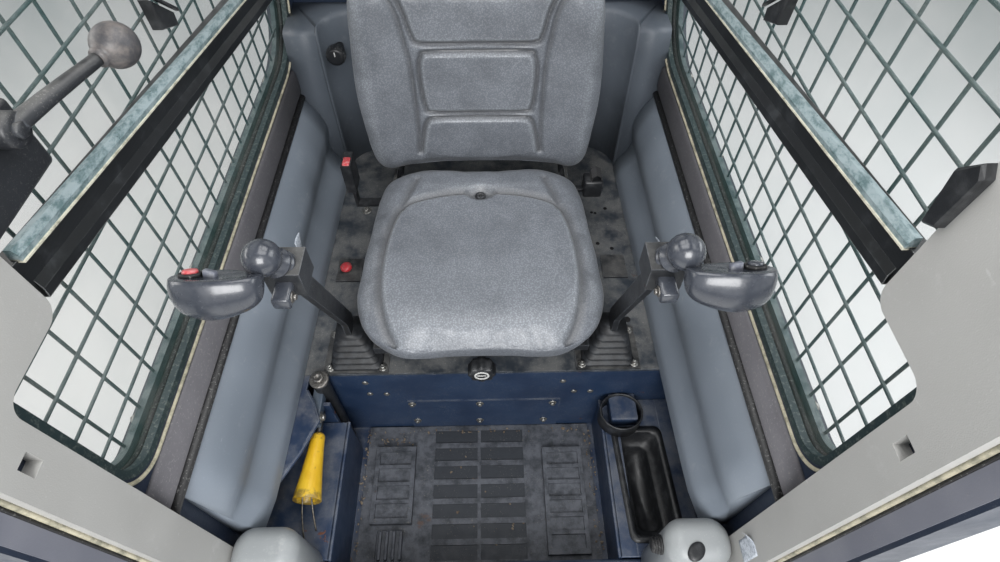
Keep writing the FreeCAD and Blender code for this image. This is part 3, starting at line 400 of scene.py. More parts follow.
# Ledges at both sides of the footwell. Folded from the same navy sheet, each a face that
# rises from the floor and a flat that runs out to the wall, with a rolled lip. The right one
# is open where the tray hangs and carries a small block behind it.
LEFT_FACE, LEFT_TOP, RIGHT_FACE, RIGHT_TOP = -0.311, 0.232, 0.275, 0.197
LEDGE_FRONT, LEDGE_REAR, LEDGE_SHEET = -0.535, -0.190, 0.006
LEDGE_FOOT, LEFT_REAR = 0.0562, -0.249
TRAY_LOW, TRAY_HIGH, TRAY_LAP = (0.313, -0.500), (0.405, -0.272), 0.002
BLOCK_LOW, BLOCK_RIGHT, BLOCK_RISE, BLOCK_EDGE = (0.290, -0.256), 0.352, 0.036, 0.004


def rolled_lip(work, x, top, rear):
    """The rolled edge of a ledge, a little below its top."""
    tube(work, [(x, y, top - 0.002) for y in (LEDGE_FRONT, -0.40, rear)], 0.0036)


work = bmesh.new()
left_inner = LEFT_FACE + LEDGE_SHEET
slab(work, (LEFT_FACE, LEDGE_FRONT, LEDGE_FOOT), (left_inner, LEFT_REAR, LEFT_TOP))
slab(work, (-INNER, LEDGE_FRONT, LEFT_TOP - LEDGE_SHEET), (left_inner, LEFT_REAR, LEFT_TOP))
rolled_lip(work, left_inner, LEFT_TOP, LEFT_REAR)
slab(work, (RIGHT_FACE, LEDGE_FRONT, LEDGE_FOOT),
     (RIGHT_FACE + LEDGE_SHEET, LEDGE_REAR, RIGHT_TOP))
lap_left, lap_right = TRAY_LOW[0] - TRAY_LAP, TRAY_HIGH[0] + TRAY_LAP
for low, high in (((RIGHT_FACE, LEDGE_FRONT), (TRAY_LOW[0], LEDGE_REAR)),
                  ((TRAY_HIGH[0], LEDGE_FRONT), (INNER, LEDGE_REAR)),
                  ((lap_left, LEDGE_FRONT), (lap_right, TRAY_LOW[1])),
                  ((lap_left, TRAY_HIGH[1]), (lap_right, LEDGE_REAR))):
    slab(work, (*low, RIGHT_TOP - LEDGE_SHEET), (*high, RIGHT_TOP))
rolled_lip(work, RIGHT_FACE, RIGHT_TOP, LEDGE_REAR)
slab(work, (*BLOCK_LOW, RIGHT_TOP), (BLOCK_RIGHT, LEDGE_REAR, RIGHT_TOP + BLOCK_RISE), BLOCK_EDGE)
new_piece("footwell_ledges", work, navy_paint, smooth=False)


# Bolts of the cover and pressed dimples of the riser. Zinc-plated hexagon heads on washers,
# turned in to the sheet, dull with dirt in their corners.
def zinc(name, tint):
    """Plated steel, dull and darker in patches."""
    finish = Finish(name, rough=0.35, metal=0.85)
    finish.colour(finish.patchy((0.004,), (0.4, 0.65), tint, (0.14, 0.13, 0.12)))
    finish.uneven_gloss((0.003,), 0.35, 0.25)
    finish.relief((finish.noise(0.0012), 0.0001))
    return finish


def turned(work, profile, centre, axis, sides=24, turn=0.0, squeeze=1.0):
    """Spin a list of (radius, distance along the axis) about a line."""
    along = Vector(axis).normalized()
    side = along.orthogonal().normalized()
    other = along.cross(side)
    angles = [2 * math.pi * step / sides + turn for step in range(sides)]
    lofted(work, [[Vector(centre) + along * far + radius * (
        side * math.cos(angle) + other * squeeze * math.sin(angle)) for angle in angles]
        for radius, far in profile])


def bolt(work, place, axis, across_flats=0.013, washer=True):
    """A hexagon head with a chamfer, a dished washer and a thread hollow."""
    radius = across_flats / math.sqrt(3)
    start = 0.0
    if washer:
        turned(work, [(radius * 1.62, 0), (radius * 1.62, 0.0012), (radius * 1.5, 0.0019),
                      (radius * 0.9, 0.0019)], place, axis, 28)
        start = 0.0017
    tall = across_flats * 0.52
    turned(work, [(radius, start), (radius, start + tall * 0.78), (radius * 0.86, start + tall),
                  (radius * 0.5, start + tall), (radius * 0.42, start + tall - 0.0006)],
           place, axis, 6, 0.3)


COVER_BOLTS = ((-0.170, 0.203), (-0.010, 0.200), (0.163, 0.198), (-0.167, 0.108),
               (-0.012, 0.103), (0.147, 0.102))
RISER_DIMPLES = ((-0.262, 0.307), (-0.261, 0.252), (-0.223, 0.250), (0.179, 0.300),
                 (0.209, 0.248), (0.247, 0.247))
bolt_zinc = zinc("bolt_zinc", (0.42, 0.42, 0.40))
cover_face, riser_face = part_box("access_cover")[0].y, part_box("riser_panel")[0].y
work = bmesh.new()
for x, z in COVER_BOLTS:
    bolt(work, (x, cover_face, z), (0, -1, 0), 0.010)
for x, z in RISER_DIMPLES:
    turned(work, [(0.0075, 0), (0.006, 0.0016), (0.003, 0.0026)], (x, riser_face, z),
           (0, -1, 0), 20)
new_piece("cover_bolts", work, bolt_zinc)


# Deck under the seat. Steel plate in dark paint under years of grit, speckled all over with
# pale splashes, its front fold rubbed bright. Four bolts hold each boot flange and one the
# plate's left edge, and a few plain holes stay open on the right.
deck_paint = painted_steel("deck_paint", (0.026, 0.033, 0.043), (0.036, 0.045, 0.058),
                           0.95, 0.42, 0.25, 0.9)
dress(deck_paint, "seat_plate")
deck_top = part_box("seat_plate")[1].z
boot_bases = {side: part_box("stick_socket_" + side) for side in ("left", "right")}
FLANGE_INSET, FLANGE_SHEET, DECK_BOLT = 0.013, 0.004, (-0.309, 0.298)
work = bmesh.new()
for low, high in boot_bases.values():
    for x in (low.x + FLANGE_INSET, high.x - FLANGE_INSET):
        for y in (low.y + FLANGE_INSET, high.y - FLANGE_INSET):
            bolt(work, (x, y, deck_top + FLANGE_SHEET), (0, 0, 1), 0.010)
bolt(work, (*DECK_BOLT, deck_top), (0, 0, 1), 0.014)
new_piece("deck_bolts", work, bolt_zinc)
DECK_HOLES = ((0.330, 0.295, 0.005), (0.301, 0.278, 0.004), (0.292, 0.281, 0.004),
              (0.295, 0.172, 0.005), (0.329, 0.155, 0.005), (0.335, -0.06, 0.0075))
# The open holes are dark discs laid on the deck: painted shade for the hollow under each one.
hole_shade = Finish("hole_shade", rough=0.9)
hole_shade.colour(hole_shade.mix(hole_shade.noise(0.003), (0.002, 0.002, 0.003),
                               (0.006, 0.006, 0.007)))
hole_shade.relief((hole_shade.noise(0.002), 0.0001))
work = bmesh.new()
for x, y, radius in DECK_HOLES:
    turned(work, [(radius, -0.0010), (radius, 0.0003), (radius * 0.9, 0.0005)],
           (x, y, deck_top), (0, 0, 1), 20)
new_piece("deck_hole_shade", work, hole_shade)


# Windows. Tempered panes with a green tint and a film of dust, held in black rubber outside.
pane = Finish("window_pane", rough=0.06, Alpha=0.16, IOR=1.45)
pane.colour(pane.patchy((0.12, 4, 0.7), (0.35, 0.7), (0.10, 0.16, 0.14), (0.35, 0.37, 0.34)))
pane.uneven_gloss((0.05, 4), 0.2, 0.02)
dress(pane, "side_glass_left", "side_glass_right", "rear_glass")


def two_tone(name, patches, blend, first, second, grain, **surface):
    """A finish of two tones in patches, with a fine grain of a size and a depth."""
    finish = Finish(name, **surface)
    finish.colour(finish.patchy(patches, blend, first, second))
    finish.relief((finish.noise(grain[0]), grain[1]))
    return finish


black_rubber_and_groove_shade = two_tone("black_rubber_and_groove_shade", (0.0040, 3, 0.75), (0.58, 0.68), (0.009, 0.009, 0.010),
                        (0.16, 0.16, 0.155), (0.003, 0.0003), rough=0.55)


def round_corner(centre, radius, start, steps):
    """Points of a quarter circle, from an angle in quarter turns."""
    return [(centre[0] + radius * math.cos(math.pi / 2 * (start + step / steps)),
             centre[1] + radius * math.sin(math.pi / 2 * (start + step / steps)))
            for step in range(steps + 1)]


def window_line(low, high, radii, grow=0.0):
    """A rounded outline, its corners in turn lower front, lower rear, upper rear, upper front."""
    corners = ((low[0] + radii[0], low[1] + radii[0]), (high[0] - radii[1], low[1] + radii[1]),
               (high[0] - radii[2], high[1] - radii[2]), (low[0] + radii[3], high[1] - radii[3]))
    line = []
    for turn, (centre, radius) in enumerate(zip(corners, radii)):
        line += round_corner(centre, radius + grow, turn - 2, 12)
    return line + [line[0]]


pane_low, pane_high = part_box("side_glass_right")
SIDE_LOW, SIDE_HIGH = (pane_low.y, pane_low.z), (pane_high.y, pane_high.z)
SIDE_RADII = (0.060, 0.180, 0.060, 0.060)
rear_pane_low, rear_pane_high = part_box("rear_glass")
REAR_RADII = (0.060,) * 4
work = bmesh.new()
for side in (-1, 1):
    tube(work, [(side * (pane_high.x + 0.002), y, z)
                for y, z in window_line(SIDE_LOW, SIDE_HIGH, SIDE_RADII, -0.005)],
         0.0055, lead=(side, 0, 0))
for y in (rear_pane_low.y - 0.001, rear_pane_high.y + 0.002):
    tube(work, [(x, y, z) for x, z in window_line(
        (rear_pane_low.x, rear_pane_low.z), (rear_pane_high.x, rear_pane_high.z),
        REAR_RADII, -0.005)], 0.0065, lead=(0, 1, 0))
new_piece("pane_rubbers", work, black_rubber_and_groove_shade)


# Window guards. Round wires welded in a grid inside a flat bar frame, in dark teal paint that
# has thinned where the wires cross, each screwed to the wall through its bar.
wire_paint = Finish("wire_paint", rough=0.40)
wire_tone = wire_paint.patchy((0.018, 4, 0.7), (0.42, 0.7), (0.018, 0.047, 0.055),
                              (0.055, 0.095, 0.105))
wire_dust = wire_paint.times(wire_paint.span(wire_paint.upward(), 0.2, 0.9),
                             wire_paint.span(wire_paint.noise(0.03, 3), 0.35, 0.6), 0.5)
wire_paint.colour(wire_paint.mix(wire_dust, wire_tone, (0.20, 0.24, 0.24)))
wire_paint.relief((wire_paint.noise(0.002), 0.0002))
dress(wire_paint, "side_screen_left", "side_screen_right")
guard_low, guard_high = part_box("side_screen_right")
GUARD_BAR = 0.008
work = bmesh.new()
for side in (-1, 1):
    for step in range(4):
        y = guard_low.y + 0.10 + step * 0.27
        for z in (guard_low.z + GUARD_BAR, guard_high.z - GUARD_BAR):
            if y < guard_high.y - 0.2 or z > 1:
                bolt(work, (side * guard_high.x, y, z), (side, 0, 0), 0.010)
new_piece("guard_bolts", work, bolt_zinc)


# Slide rails of the upper panes. Black aluminium channels with two steps, each rubbed to a
# thin bright line, and above them the pane's own pale teal track with a cream felt.
rail_black = Finish("rail_black", rough=0.34)
rail_worn = rail_black.times(rail_black.edges(0.0016),
                             rail_black.span(rail_black.noise(0.05, 3), 0.36, 0.55))
rail_tone = rail_black.patchy((0.04, 4, 0.7), (0.5, 0.75), (0.009, 0.010, 0.011),
                              (0.032, 0.035, 0.038))
rail_black.colour(rail_black.mix(rail_worn, rail_tone, (0.36, 0.37, 0.37)))
rail_black.relief((rail_black.noise(0.003, 2, 0.6, (1, 0.1, 1)), 0.00012))
dress(rail_black, "window_rail_left", "window_rail_right")

track_metal = Finish("track_metal", rough=0.3, metal=0.35)
track_metal.colour(track_metal.patchy((0.012, 5, 0.75, (1, 0.4, 1)), (0.40, 0.66),
                                      (0.36, 0.44, 0.46), (0.12, 0.19, 0.20)))
track_metal.uneven_gloss((0.01,), 0.4, 0.15)
track_metal.relief((track_metal.noise(0.004), 0.0002))
felt_cream = two_tone("felt_cream", (0.015, 4, 0.7), (0.42, 0.72), (0.60, 0.58, 0.47),
                      (0.26, 0.25, 0.19), (0.0010, 0.0002), rough=0.9)

rail_low, rail_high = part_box("window_rail_right")
RAIL_FRONT_HEIGHT, RAIL_REAR_HEIGHT = 0.937, 0.787
RAIL_RUN = Vector((0, rail_high.y - rail_low.y, RAIL_REAR_HEIGHT - RAIL_FRONT_HEIGHT)).normalized()
RAIL_UP = Vector((0, -RAIL_RUN.z, RAIL_RUN.y))
RAIL_TOP = rail_high.z
RAIL_BAND, RAIL_LIP, TRACK_X, RAIL_END = 0.0495, 0.024, 0.4415, 0.012
for label, side in (("left", -1), ("right", 1)):
    tracks, felts, lips = bmesh.new(), bmesh.new(), bmesh.new()
    front = Vector((side * TRACK_X, rail_low.y + RAIL_END, RAIL_TOP - 0.003))
    length = (rail_high.y - rail_low.y - 2 * RAIL_END) / RAIL_RUN.y
    for work, high, deep, rise in ((tracks, 0.0, 0.012, 0.014), (felts, -0.0015, 0.0135, 0.004),
                                   (lips, -RAIL_BAND, 0.0105, RAIL_LIP)):
        ring = []
        for inward, up in ((0, 0), (deep, 0), (deep, rise * 0.5), (deep * 0.6, rise),
                           (0, rise)):
            ring.append(front - Vector((side * inward, 0, 0)) + RAIL_UP * (high + up))
        lofted(work, [[point + RAIL_RUN * far for point in ring] for far in (0, length)])
    new_piece("rail_track_" + label, tracks, track_metal, smooth=False)
    new_piece("rail_felt_" + label, felts, felt_cream, smooth=False)
    new_piece("rail_lip_" + label, lips, rail_black, smooth=False)


# Handles of the sliding panes. Black moulded grips on a foot, riveted to the pane above the
# rail, one at each side.
black_plastic = Finish("black_plastic", rough=0.42)
black_plastic.colour(black_plastic.patchy((0.03, 4, 0.7), (0.42, 0.75), (0.011, 0.012, 0.014),
                                          (0.045, 0.047, 0.05)))
black_plastic.uneven_gloss((0.02,), 0.3, 0.26)
black_plastic.relief((black_plastic.cells(0.0014), 0.00008))
dress(black_plastic, "seat_knob", "belt_buckle", "backrest_shell", "work_lamps")


def plate(work, outline, place, thick, edge=0.0015):
    """A flat plate with eased edges. place turns an outline point and a height into metres."""
    middle = sum((Vector(point) for point in outline), Vector((0, 0))) / len(outline)
    lofted(work, [[place(Vector(point) - (Vector(point) - middle).normalized() * shrink, height)
                   for point in outline]
                  for shrink, height in ((0, 0), (0, thick - edge), (edge, thick))])


def rounded_box(width, height, radius, steps=5):
    """A rounded rectangle round the origin."""
    line = []
    for turn, (x, y) in enumerate(((1, 1), (-1, 1), (-1, -1), (1, -1))):
        line += round_corner((x * (width / 2 - radius), y * (height / 2 - radius)), radius,
                             turn, steps)
    return line


HANDLE_OUTLINE = ((0.013, 1.061), (0.061, 1.019), (0.058, 1.000), (0.014, 1.017))
work = bmesh.new()
for side in (-1, 1):
    plate(work, HANDLE_OUTLINE, lambda point, height: (
        side * (0.4575 - height), point.x, point.y), 0.017, 0.003)
    plate(work, [(y + 0.004, z + 0.004) for y, z in HANDLE_OUTLINE[:2]] + [
        (y + 0.004, z - 0.001) for y, z in HANDLE_OUTLINE[1::-1]], lambda point, height: (
            side * (0.4405 - height), point.x, point.y), 0.006, 0.001)
new_piece("pane_handles", work, black_plastic, smooth=False)


# Window seals. Dark rubber between the glass and the wall, with a thin cream lip where it
# meets the wall's inner face.
seal_rubber = two_tone("seal_rubber", (0.006, 4, 0.75), (0.50, 0.66), (0.018, 0.035, 0.038),
                       (0.105, 0.125, 0.115), (0.004, 0.0002), rough=0.5)
dress(seal_rubber, "window_seal_left", "window_seal_right")
cream_lip_and_edge_highlight = two_tone("cream_lip_and_edge_highlight", (0.02, 4, 0.7), (0.4, 0.7), (0.50, 0.46, 0.34),
                     (0.22, 0.21, 0.155), (0.003, 0.0002), rough=0.55)
LIP_GROW, LIP_THICK = 0.007, 0.003
for label, side in (("left", -1), ("right", 1)):
    work = bmesh.new()
    tube(work, [(side * (INNER - 0.0005), y, z)
                for y, z in window_line(SIDE_LOW, SIDE_HIGH, SIDE_RADII, LIP_GROW)],
         LIP_THICK, lead=(side, 0, 0))
    new_piece("window_lip_" + label, work, cream_lip_and_edge_highlight)


# Side pads. Vacuum-formed blue-grey plastic with a fine leather grain, scuffed and lightly
# dusty on the rolls, pressed in between the deck and the window roll.
def moulding(name, colour, light, scuff, rough=0.46, worn=0.30):
    """Grained plastic with rubbed patches, scratches and specks in a third tone."""
    finish = Finish(name, rough=rough)
    tone = finish.patchy((0.22, 2), (0.35, 0.65), colour, light)
    rubbed = finish.times(finish.span(finish.noise(0.05, 4, 0.72), 0.56, 0.74), worn)
    tone = finish.mix(rubbed, tone, scuff)
    scratches = finish.span(finish.noise(0.012, 3, 0.6, (1, 0.18, 0.5)), 0.70, 0.73)
    tone = finish.mix(finish.times(scratches, 0.4), tone, scuff)
    specks = finish.span(finish.noise(0.0035, 2, 0.7), 0.66, 0.70)
    tone = finish.mix(finish.times(specks, 0.25), tone, scuff)
    finish.colour(tone)
    finish.uneven_gloss((0.04, 4), 0.22, rough - 0.1)
    finish.relief((finish.cells(0.0016), 0.00009), (finish.noise(0.3, 1), 0.003))
    return finish


grey_moulding = moulding("grey_moulding", (0.175, 0.202, 0.238), (0.205, 0.235, 0.276),
                         (0.32, 0.345, 0.375))
PAD_FRONT, PAD_REAR, PAD_LOW, PAD_TOP = -0.510, 0.4497, 0.3484, 0.589
PAD_CROWN, PAD_FOOT_FRONT, PAD_FOOT_REAR = 0.050, 0.057, 0.074
PAD_PROFILE = ((0, 1, 0), (0.2, 0.988, 0), (0.62, 0.863, 0), (0.92, 0.676, 0), (0.88, 0.531, 0),
               (0.71, 0.407, 0.05), (0.79, 0.282, 0.2), (1, 0.137, 0.8), (1, 0.033, 1),
               (1, 0, 1))


def rounded_stretch(a, b, c, d, steps):
    """Points of the curve from b to c, which leaves towards d and comes from a."""
    return [0.5 * ((2 * b) + (c - a) * t + (2 * a - 5 * b + 4 * c - d) * t * t
                   + (3 * b - a - 3 * c + d) * t ** 3)
            for t in (step / steps for step in range(steps))]


def eased(points, steps=5):
    """More points on an open line of vectors or arrays, as a rounded line through them."""
    points = [2 * points[0] - points[1]] + list(points) + [2 * points[-1] - points[-2]]
    line = []
    for a, b, c, d in zip(points, points[1:], points[2:], points[3:]):
        line += rounded_stretch(a, b, c, d, steps)
    return line + [points[-2]]


def stands_for(item, node):
    """Let a modelled piece take a solid's place, hiding the solid."""
    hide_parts(node)
    return item


for label, side in (("left", -1), ("right", 1)):
    rings = []
    for step in range(17):
        share = step / 16
        y = PAD_FRONT + (PAD_REAR - PAD_FRONT) * share
        foot = PAD_FOOT_FRONT + (PAD_FOOT_REAR - PAD_FOOT_FRONT) * share
        tuck = 0.010 * max(0, 1 - step / 1.5) ** 2
        ring = eased([Vector((side * (INNER - max(PAD_CROWN * depth * (1 - part)
                                                  + foot * part - tuck * bool(depth), 0)), y,
                              PAD_LOW + (PAD_TOP - PAD_LOW) * rise))
                      for depth, rise, part in PAD_PROFILE])
        rings.append(ring + [Vector((side * INNER, y, PAD_LOW))])
    work = bmesh.new()
    lofted(work, rings)
    stands_for(new_piece("pad_" + label, work, grey_moulding), "side_pad_" + label)


# Rear lining. The same plastic in a darker grey, one moulding across the rear wall behind the
# seat, with rounded corners beside it and a rolled upper edge.
lining_grey = moulding("lining_grey", (0.085, 0.100, 0.120), (0.105, 0.122, 0.146),
                       (0.19, 0.205, 0.225))
LINING_TOP, LINING_FACE, LINING_SIDE, LINING_CORNER = 0.757, 0.550, 0.375, 0.090
LINING_FRONT, LINING_BACK = 0.4503, 0.5995
work = bmesh.new()
outline = [(-INNER, LINING_FRONT), (-LINING_SIDE, LINING_FRONT),
           (-LINING_SIDE, LINING_FRONT + 0.010)]
outline += [(-x, y) for x, y in round_corner((LINING_SIDE - LINING_CORNER,
                                              LINING_FACE - LINING_CORNER), LINING_CORNER, 0, 8)]
outline += [(-x, y) for x, y in outline[::-1]] + [(INNER, LINING_BACK), (-INNER, LINING_BACK)]
rings = []
for level, shrink in ((PAD_LOW, 0), (0.600, 0), (0.700, 0.004), (LINING_TOP - 0.012, 0.010),
                      (LINING_TOP - 0.003, 0.014), (LINING_TOP, 0.020)):
    rings.append([Vector((x, max(y, min(y + shrink * 1.5, LINING_BACK - 0.0005)), level))
                  for x, y in outline])
lofted(work, rings)
stands_for(new_piece("lining", work, lining_grey), "rear_lining")


# Labels. Small blank stickers, one on each pad beside its stick and a peeling one at the
# foot of the right trim, their corners lifting and their faces dirty.
label_paper = two_tone("label_paper", (0.006, 4, 0.75), (0.42, 0.62), (0.62, 0.66, 0.72),
                       (0.34, 0.38, 0.44), (0.004, 0.0002), rough=0.5)


def stuck_label(name, carrier, centre, across, upward, width, height, lift=0.0):
    """A sticker that follows the surface of a solid or piece, with one corner lifted."""
    mesh = carrier.data
    skin = BVHTree.FromPolygons([vertex.co for vertex in mesh.vertices],
                                [face.vertices for face in mesh.polygons])
    work = bmesh.new()
    rows = []
    for row in range(9):
        line = []
        for column in range(9):
            u, v = column / 8 - 0.5, row / 8 - 0.5
            spot = Vector(centre) + Vector(across) * u * width + Vector(upward) * v * height
            place, normal = skin.find_nearest(spot)[:2]
            if normal.dot(EYE - place) < 0:
                normal = -normal
            line.append((place, normal, 0.0005 + lift * max(u + v - 0.45, 0) ** 2))
        rows.append(line)
    for under in (0, 1):
        grid = [[work.verts.new(place + normal * (rise - 0.0004 * under))
                 for place, normal, rise in line] for line in rows]
        for first, second in zip(grid, grid[1:]):
            for step in range(8):
                work.faces.new((first[step], first[step + 1], second[step + 1], second[step]))
        rows_edge = ([grid[0][step] for step in range(9)]
                     + [grid[row][8] for row in range(1, 9)]
                     + [grid[8][step] for step in range(7, -1, -1)]
                     + [grid[row][0] for row in range(7, 0, -1)])
        if under:
            for step, corner in enumerate(rows_edge):
                after = (step + 1) % len(rows_edge)
                work.faces.new((top_edge[step], top_edge[after], rows_edge[after], corner))
        top_edge = rows_edge
    return new_piece(name, work, label_paper)


stuck_label("pad_label_left", bpy.data.objects["pad_left"], (-0.405, 0.05, 0.49), (0, 1, 0.1),
            (0.25, 0.1, 1), 0.030, 0.062, 0.02)
stuck_label("pad_label_right", bpy.data.objects["pad_right"], (0.400, 0.06, 0.45), (0, 1, -0.1),
            (-0.25, 0.1, 1), 0.030, 0.062, 0.02)
stuck_label("trim_label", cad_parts["front_trim_right"], (0.43, -0.575, 0.462), (0, 1, 0),
            (0, 0, 1), 0.034, 0.060, 0.05)


# Window rolls and gaskets. Under each window a soft lavender-grey roll with lint caught on
# it, and below that a black rubber gasket where the wall meets the side pad.
roll_cloth = Finish("roll_cloth", rough=0.85)
roll_lint = roll_cloth.span(roll_cloth.noise(0.0045, 4, 0.75), 0.56, 0.66)
roll_cloth.colour(roll_cloth.mix(roll_cloth.times(roll_lint, 0.35), roll_cloth.mix(
    roll_cloth.noise(0.05, 3), (0.095, 0.092, 0.103), (0.145, 0.140, 0.152)),
    (0.30, 0.30, 0.29)))
roll_cloth.relief((roll_cloth.noise(0.0016), 0.0002))
ROLL_FRONT, ROLL_REAR, ROLL_LOW, ROLL_TOP, GASKET_LOW = -0.555, 0.449, 0.6050, 0.6720, 0.5895


def wall_strip(name, side, low, high, proud, finish):
    """A rounded strip along the side wall between two heights."""
    work = bmesh.new()
    angles = [math.pi * step / 16 for step in range(17)]
    lofted(work, [[(side * (INNER - proud * math.sin(angle) ** 0.6), y,
                    (low + high) / 2 - math.cos(angle) * (high - low) / 2) for angle in angles]
                  for y in (ROLL_FRONT, ROLL_REAR)])
    return new_piece(name, work, finish)


for label, side in (("left", -1), ("right", 1)):
    wall_strip("window_roll_" + label, side, ROLL_LOW, ROLL_TOP, 0.009, roll_cloth)
    wall_strip("pad_gasket_" + label, side, GASKET_LOW, ROLL_LOW, 0.014, black_rubber_and_groove_shade)


# Front trims and knee bulbs. Light grey plastic mouldings on the door posts, the trims warm
# and pale, the bulbs at their feet greyer, all rubbed by everyone who climbs in.
pale_trim = moulding("pale_trim", (0.395, 0.390, 0.375), (0.440, 0.436, 0.420),
                     (0.60, 0.60, 0.59), 0.45, 0.22)
dress(pale_trim, "front_trim_left", "front_trim_right")
bulb_grey = moulding("bulb_grey", (0.270, 0.285, 0.290), (0.31, 0.325, 0.33),
                     (0.50, 0.51, 0.51), 0.40)
BULB_FRONT, BULB_REAR, BULB_ROUND, BULB_TOP_ROUND = -0.592, -0.510, 0.036, 0.030
bulb_low, bulb_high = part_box("knee_bulb_right")
centre = ((bulb_low.x + bulb_high.x) / 2, (BULB_FRONT + BULB_REAR) / 2)
size = (bulb_high.x - bulb_low.x, BULB_REAR - BULB_FRONT)
levels = [(0, bulb_low.z + 0.0003), (0, bulb_high.z - BULB_TOP_ROUND)]
levels += [(BULB_TOP_ROUND * (1 - math.cos(math.pi / 2 * step / 8)),
            bulb_high.z - BULB_TOP_ROUND * (1 - math.sin(math.pi / 2 * step / 8)))
           for step in range(1, 9)]
for label, side in (("left", -1), ("right", 1)):
    work = bmesh.new()
    rings = []
    for shrink, level in levels:
        outline = rounded_box(size[0] - 2 * shrink, size[1] - 2 * shrink,
                              max(BULB_ROUND - shrink, 0.004), 8)
        rings.append([Vector((side * (centre[0] + x), centre[1] + y, level)) for x, y in outline])
    lofted(work, rings)
    stands_for(new_piece("bulb_" + label, work, bulb_grey), "knee_bulb_" + label)


# Beads and strips of the posts, all painted light. Beside each trim run a cream bead, a painted
# highlight on the trim's outer edge, and a thin black line, painted shade in the groove behind it.
# In front of them a pale lavender strip is a painted reflection of the sky in the navy post.
# The strip's pale lavender paint is a painted reflection of the sky on the navy steel.
post_sky_reflection = painted_steel("post_sky_reflection", (0.165, 0.170, 0.205), (0.205, 0.210, 0.245),
                              0.35, 0.1, 0.2, 0)
trim_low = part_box("front_trim_right")[0]
POST_EDGE, STRIP_NEAR, STRIP_FAR, STRIP_TOP = trim_low.y, 0.0090, 0.0345, 1.40
for label, side in (("left", -1), ("right", 1)):
    # The cream bead is a painted highlight on the trim's edge, and the black line is painted shade
    # in its groove.
    for name, x, y, radius, finish in (("trim_highlight_bead_", INNER - 0.002, 0.0015, 0.0032, cream_lip_and_edge_highlight),
                                       ("trim_groove_shade_", INNER + 0.0004, 0.0068, 0.0022,
                                        black_rubber_and_groove_shade)):
        work = bmesh.new()
        tube(work, [(side * x, POST_EDGE - y, trim_low.z + 0.004 + step * 0.05)
                    for step in range(25)], radius)
        new_piece(name + label, work, finish)
    # The lavender strip: a painted reflection on the post's face.
    work = bmesh.new()
    plate(work, [(POST_EDGE - STRIP_FAR, trim_low.z), (POST_EDGE - STRIP_NEAR, trim_low.z),
                 (POST_EDGE - STRIP_NEAR, STRIP_TOP), (POST_EDGE - STRIP_FAR, STRIP_TOP)],
          lambda point, height: (side * (INNER - height), point.x, point.y), 0.0012, 0.0006)
    new_piece("post_reflection_strip_" + label, work, post_sky_reflection, smooth=False)


# Bulb cap, grommet and trim clip. A flat black cap on top of the right bulb, a ribbed rubber
# grommet in its inner side and a moulded clip on the right trim.
work = bmesh.new()
turned(work, [(0.018, -0.002), (0.018, 0.0012), (0.0165, 0.0028), (0.010, 0.0036)],
       (0.3600, -0.5700, bulb_high.z), (0, 0, 1), 28, 0, 0.7)
new_piece("bulb_cap", work, black_plastic)
work = bmesh.new()
GROMMET_RIB, GROMMET_NECK, GROMMET_TAPER, GROMMET_PITCH = 0.017, 0.0145, 0.0012, 0.0045
profile = []
for step in range(4):
    taper, far = GROMMET_TAPER * step, GROMMET_PITCH * step
    profile += [(GROMMET_RIB - taper, far), (GROMMET_RIB - taper, far + 0.003),
                (GROMMET_NECK - taper, far + 0.0033), (GROMMET_NECK - taper, far + 0.0043)]
turned(work, profile + [(0.007, 0.0185)], (bulb_low.x - 0.0005, -0.548, 0.372), (-1, 0, 0), 24)
new_piece("bulb_grommet", work, black_rubber_and_groove_shade)
work = bmesh.new()
plate(work, ((-0.430, 1.148), (-0.411, 1.126), (-0.421, 1.068), (-0.435, 1.076),
             (-0.439, 1.138)), lambda point, height: (trim_low.x - height, point.x, point.y),
      0.012, 0.003)
new_piece("trim_clip", work, black_plastic, smooth=False)


# Floor mat and foot blocks. Moulded black rubber, lighter grey in patches on the rib tops and
# darker in the sunk cells, with specks where grit and mud have dried.
mat_rubber = Finish("mat_rubber", rough=0.68)
mat_height = mat_rubber.along("Z")
mat_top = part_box("floor_mat")[1].z
# Lighter in patches on the rib tops and dark in the sunk cells: a tone set by height.
mat_crest = mat_rubber.span(mat_height, mat_top - 0.0022, mat_top - 0.0006)
mat_rib_patches = mat_rubber.span(mat_rubber.noise(0.035, 4, 0.72), 0.30, 0.66)
mat_tone = mat_rubber.mix(mat_rubber.times(mat_rib_patches, mat_crest), (0.020, 0.024, 0.031),
                          (0.088, 0.095, 0.112))
mat_speck = mat_rubber.times(mat_rubber.span(mat_rubber.noise(0.0042, 3, 0.75), 0.60, 0.70),
                             mat_rubber.span(mat_rubber.noise(0.06, 2), 0.42, 0.62), 0.6)
mat_tone = mat_rubber.mix(mat_speck, mat_tone, (0.27, 0.25, 0.21))
mat_rust = mat_rubber.span(mat_rubber.noise(0.05, 4, 0.7, (0.6, 1, 1)), 0.68, 0.76)
mat_rubber.colour(mat_rubber.mix(mat_rubber.times(mat_rust, 0.6), mat_tone,
                                 (0.105, 0.052, 0.028)))
mat_rubber.uneven_gloss((0.02,), 0.35, 0.45)
mat_rubber.relief((mat_rubber.noise(0.003), 0.0003), (mat_speck, 0.0006))
dress(mat_rubber, "floor_mat", "foot_blocks")
PEDAL_LOW, PEDAL_HIGH, PEDAL_SHEET, PEDAL_RISE = (-0.248, -0.512), (-0.188, -0.444), 0.007, 0.0160
PEDAL_RIB, PEDAL_PITCH, PEDAL_RIM = 0.0065, 0.0155, 0.004
work = bmesh.new()
slab(work, (*PEDAL_LOW, mat_top), (*PEDAL_HIGH, mat_top + PEDAL_SHEET), 0.002)
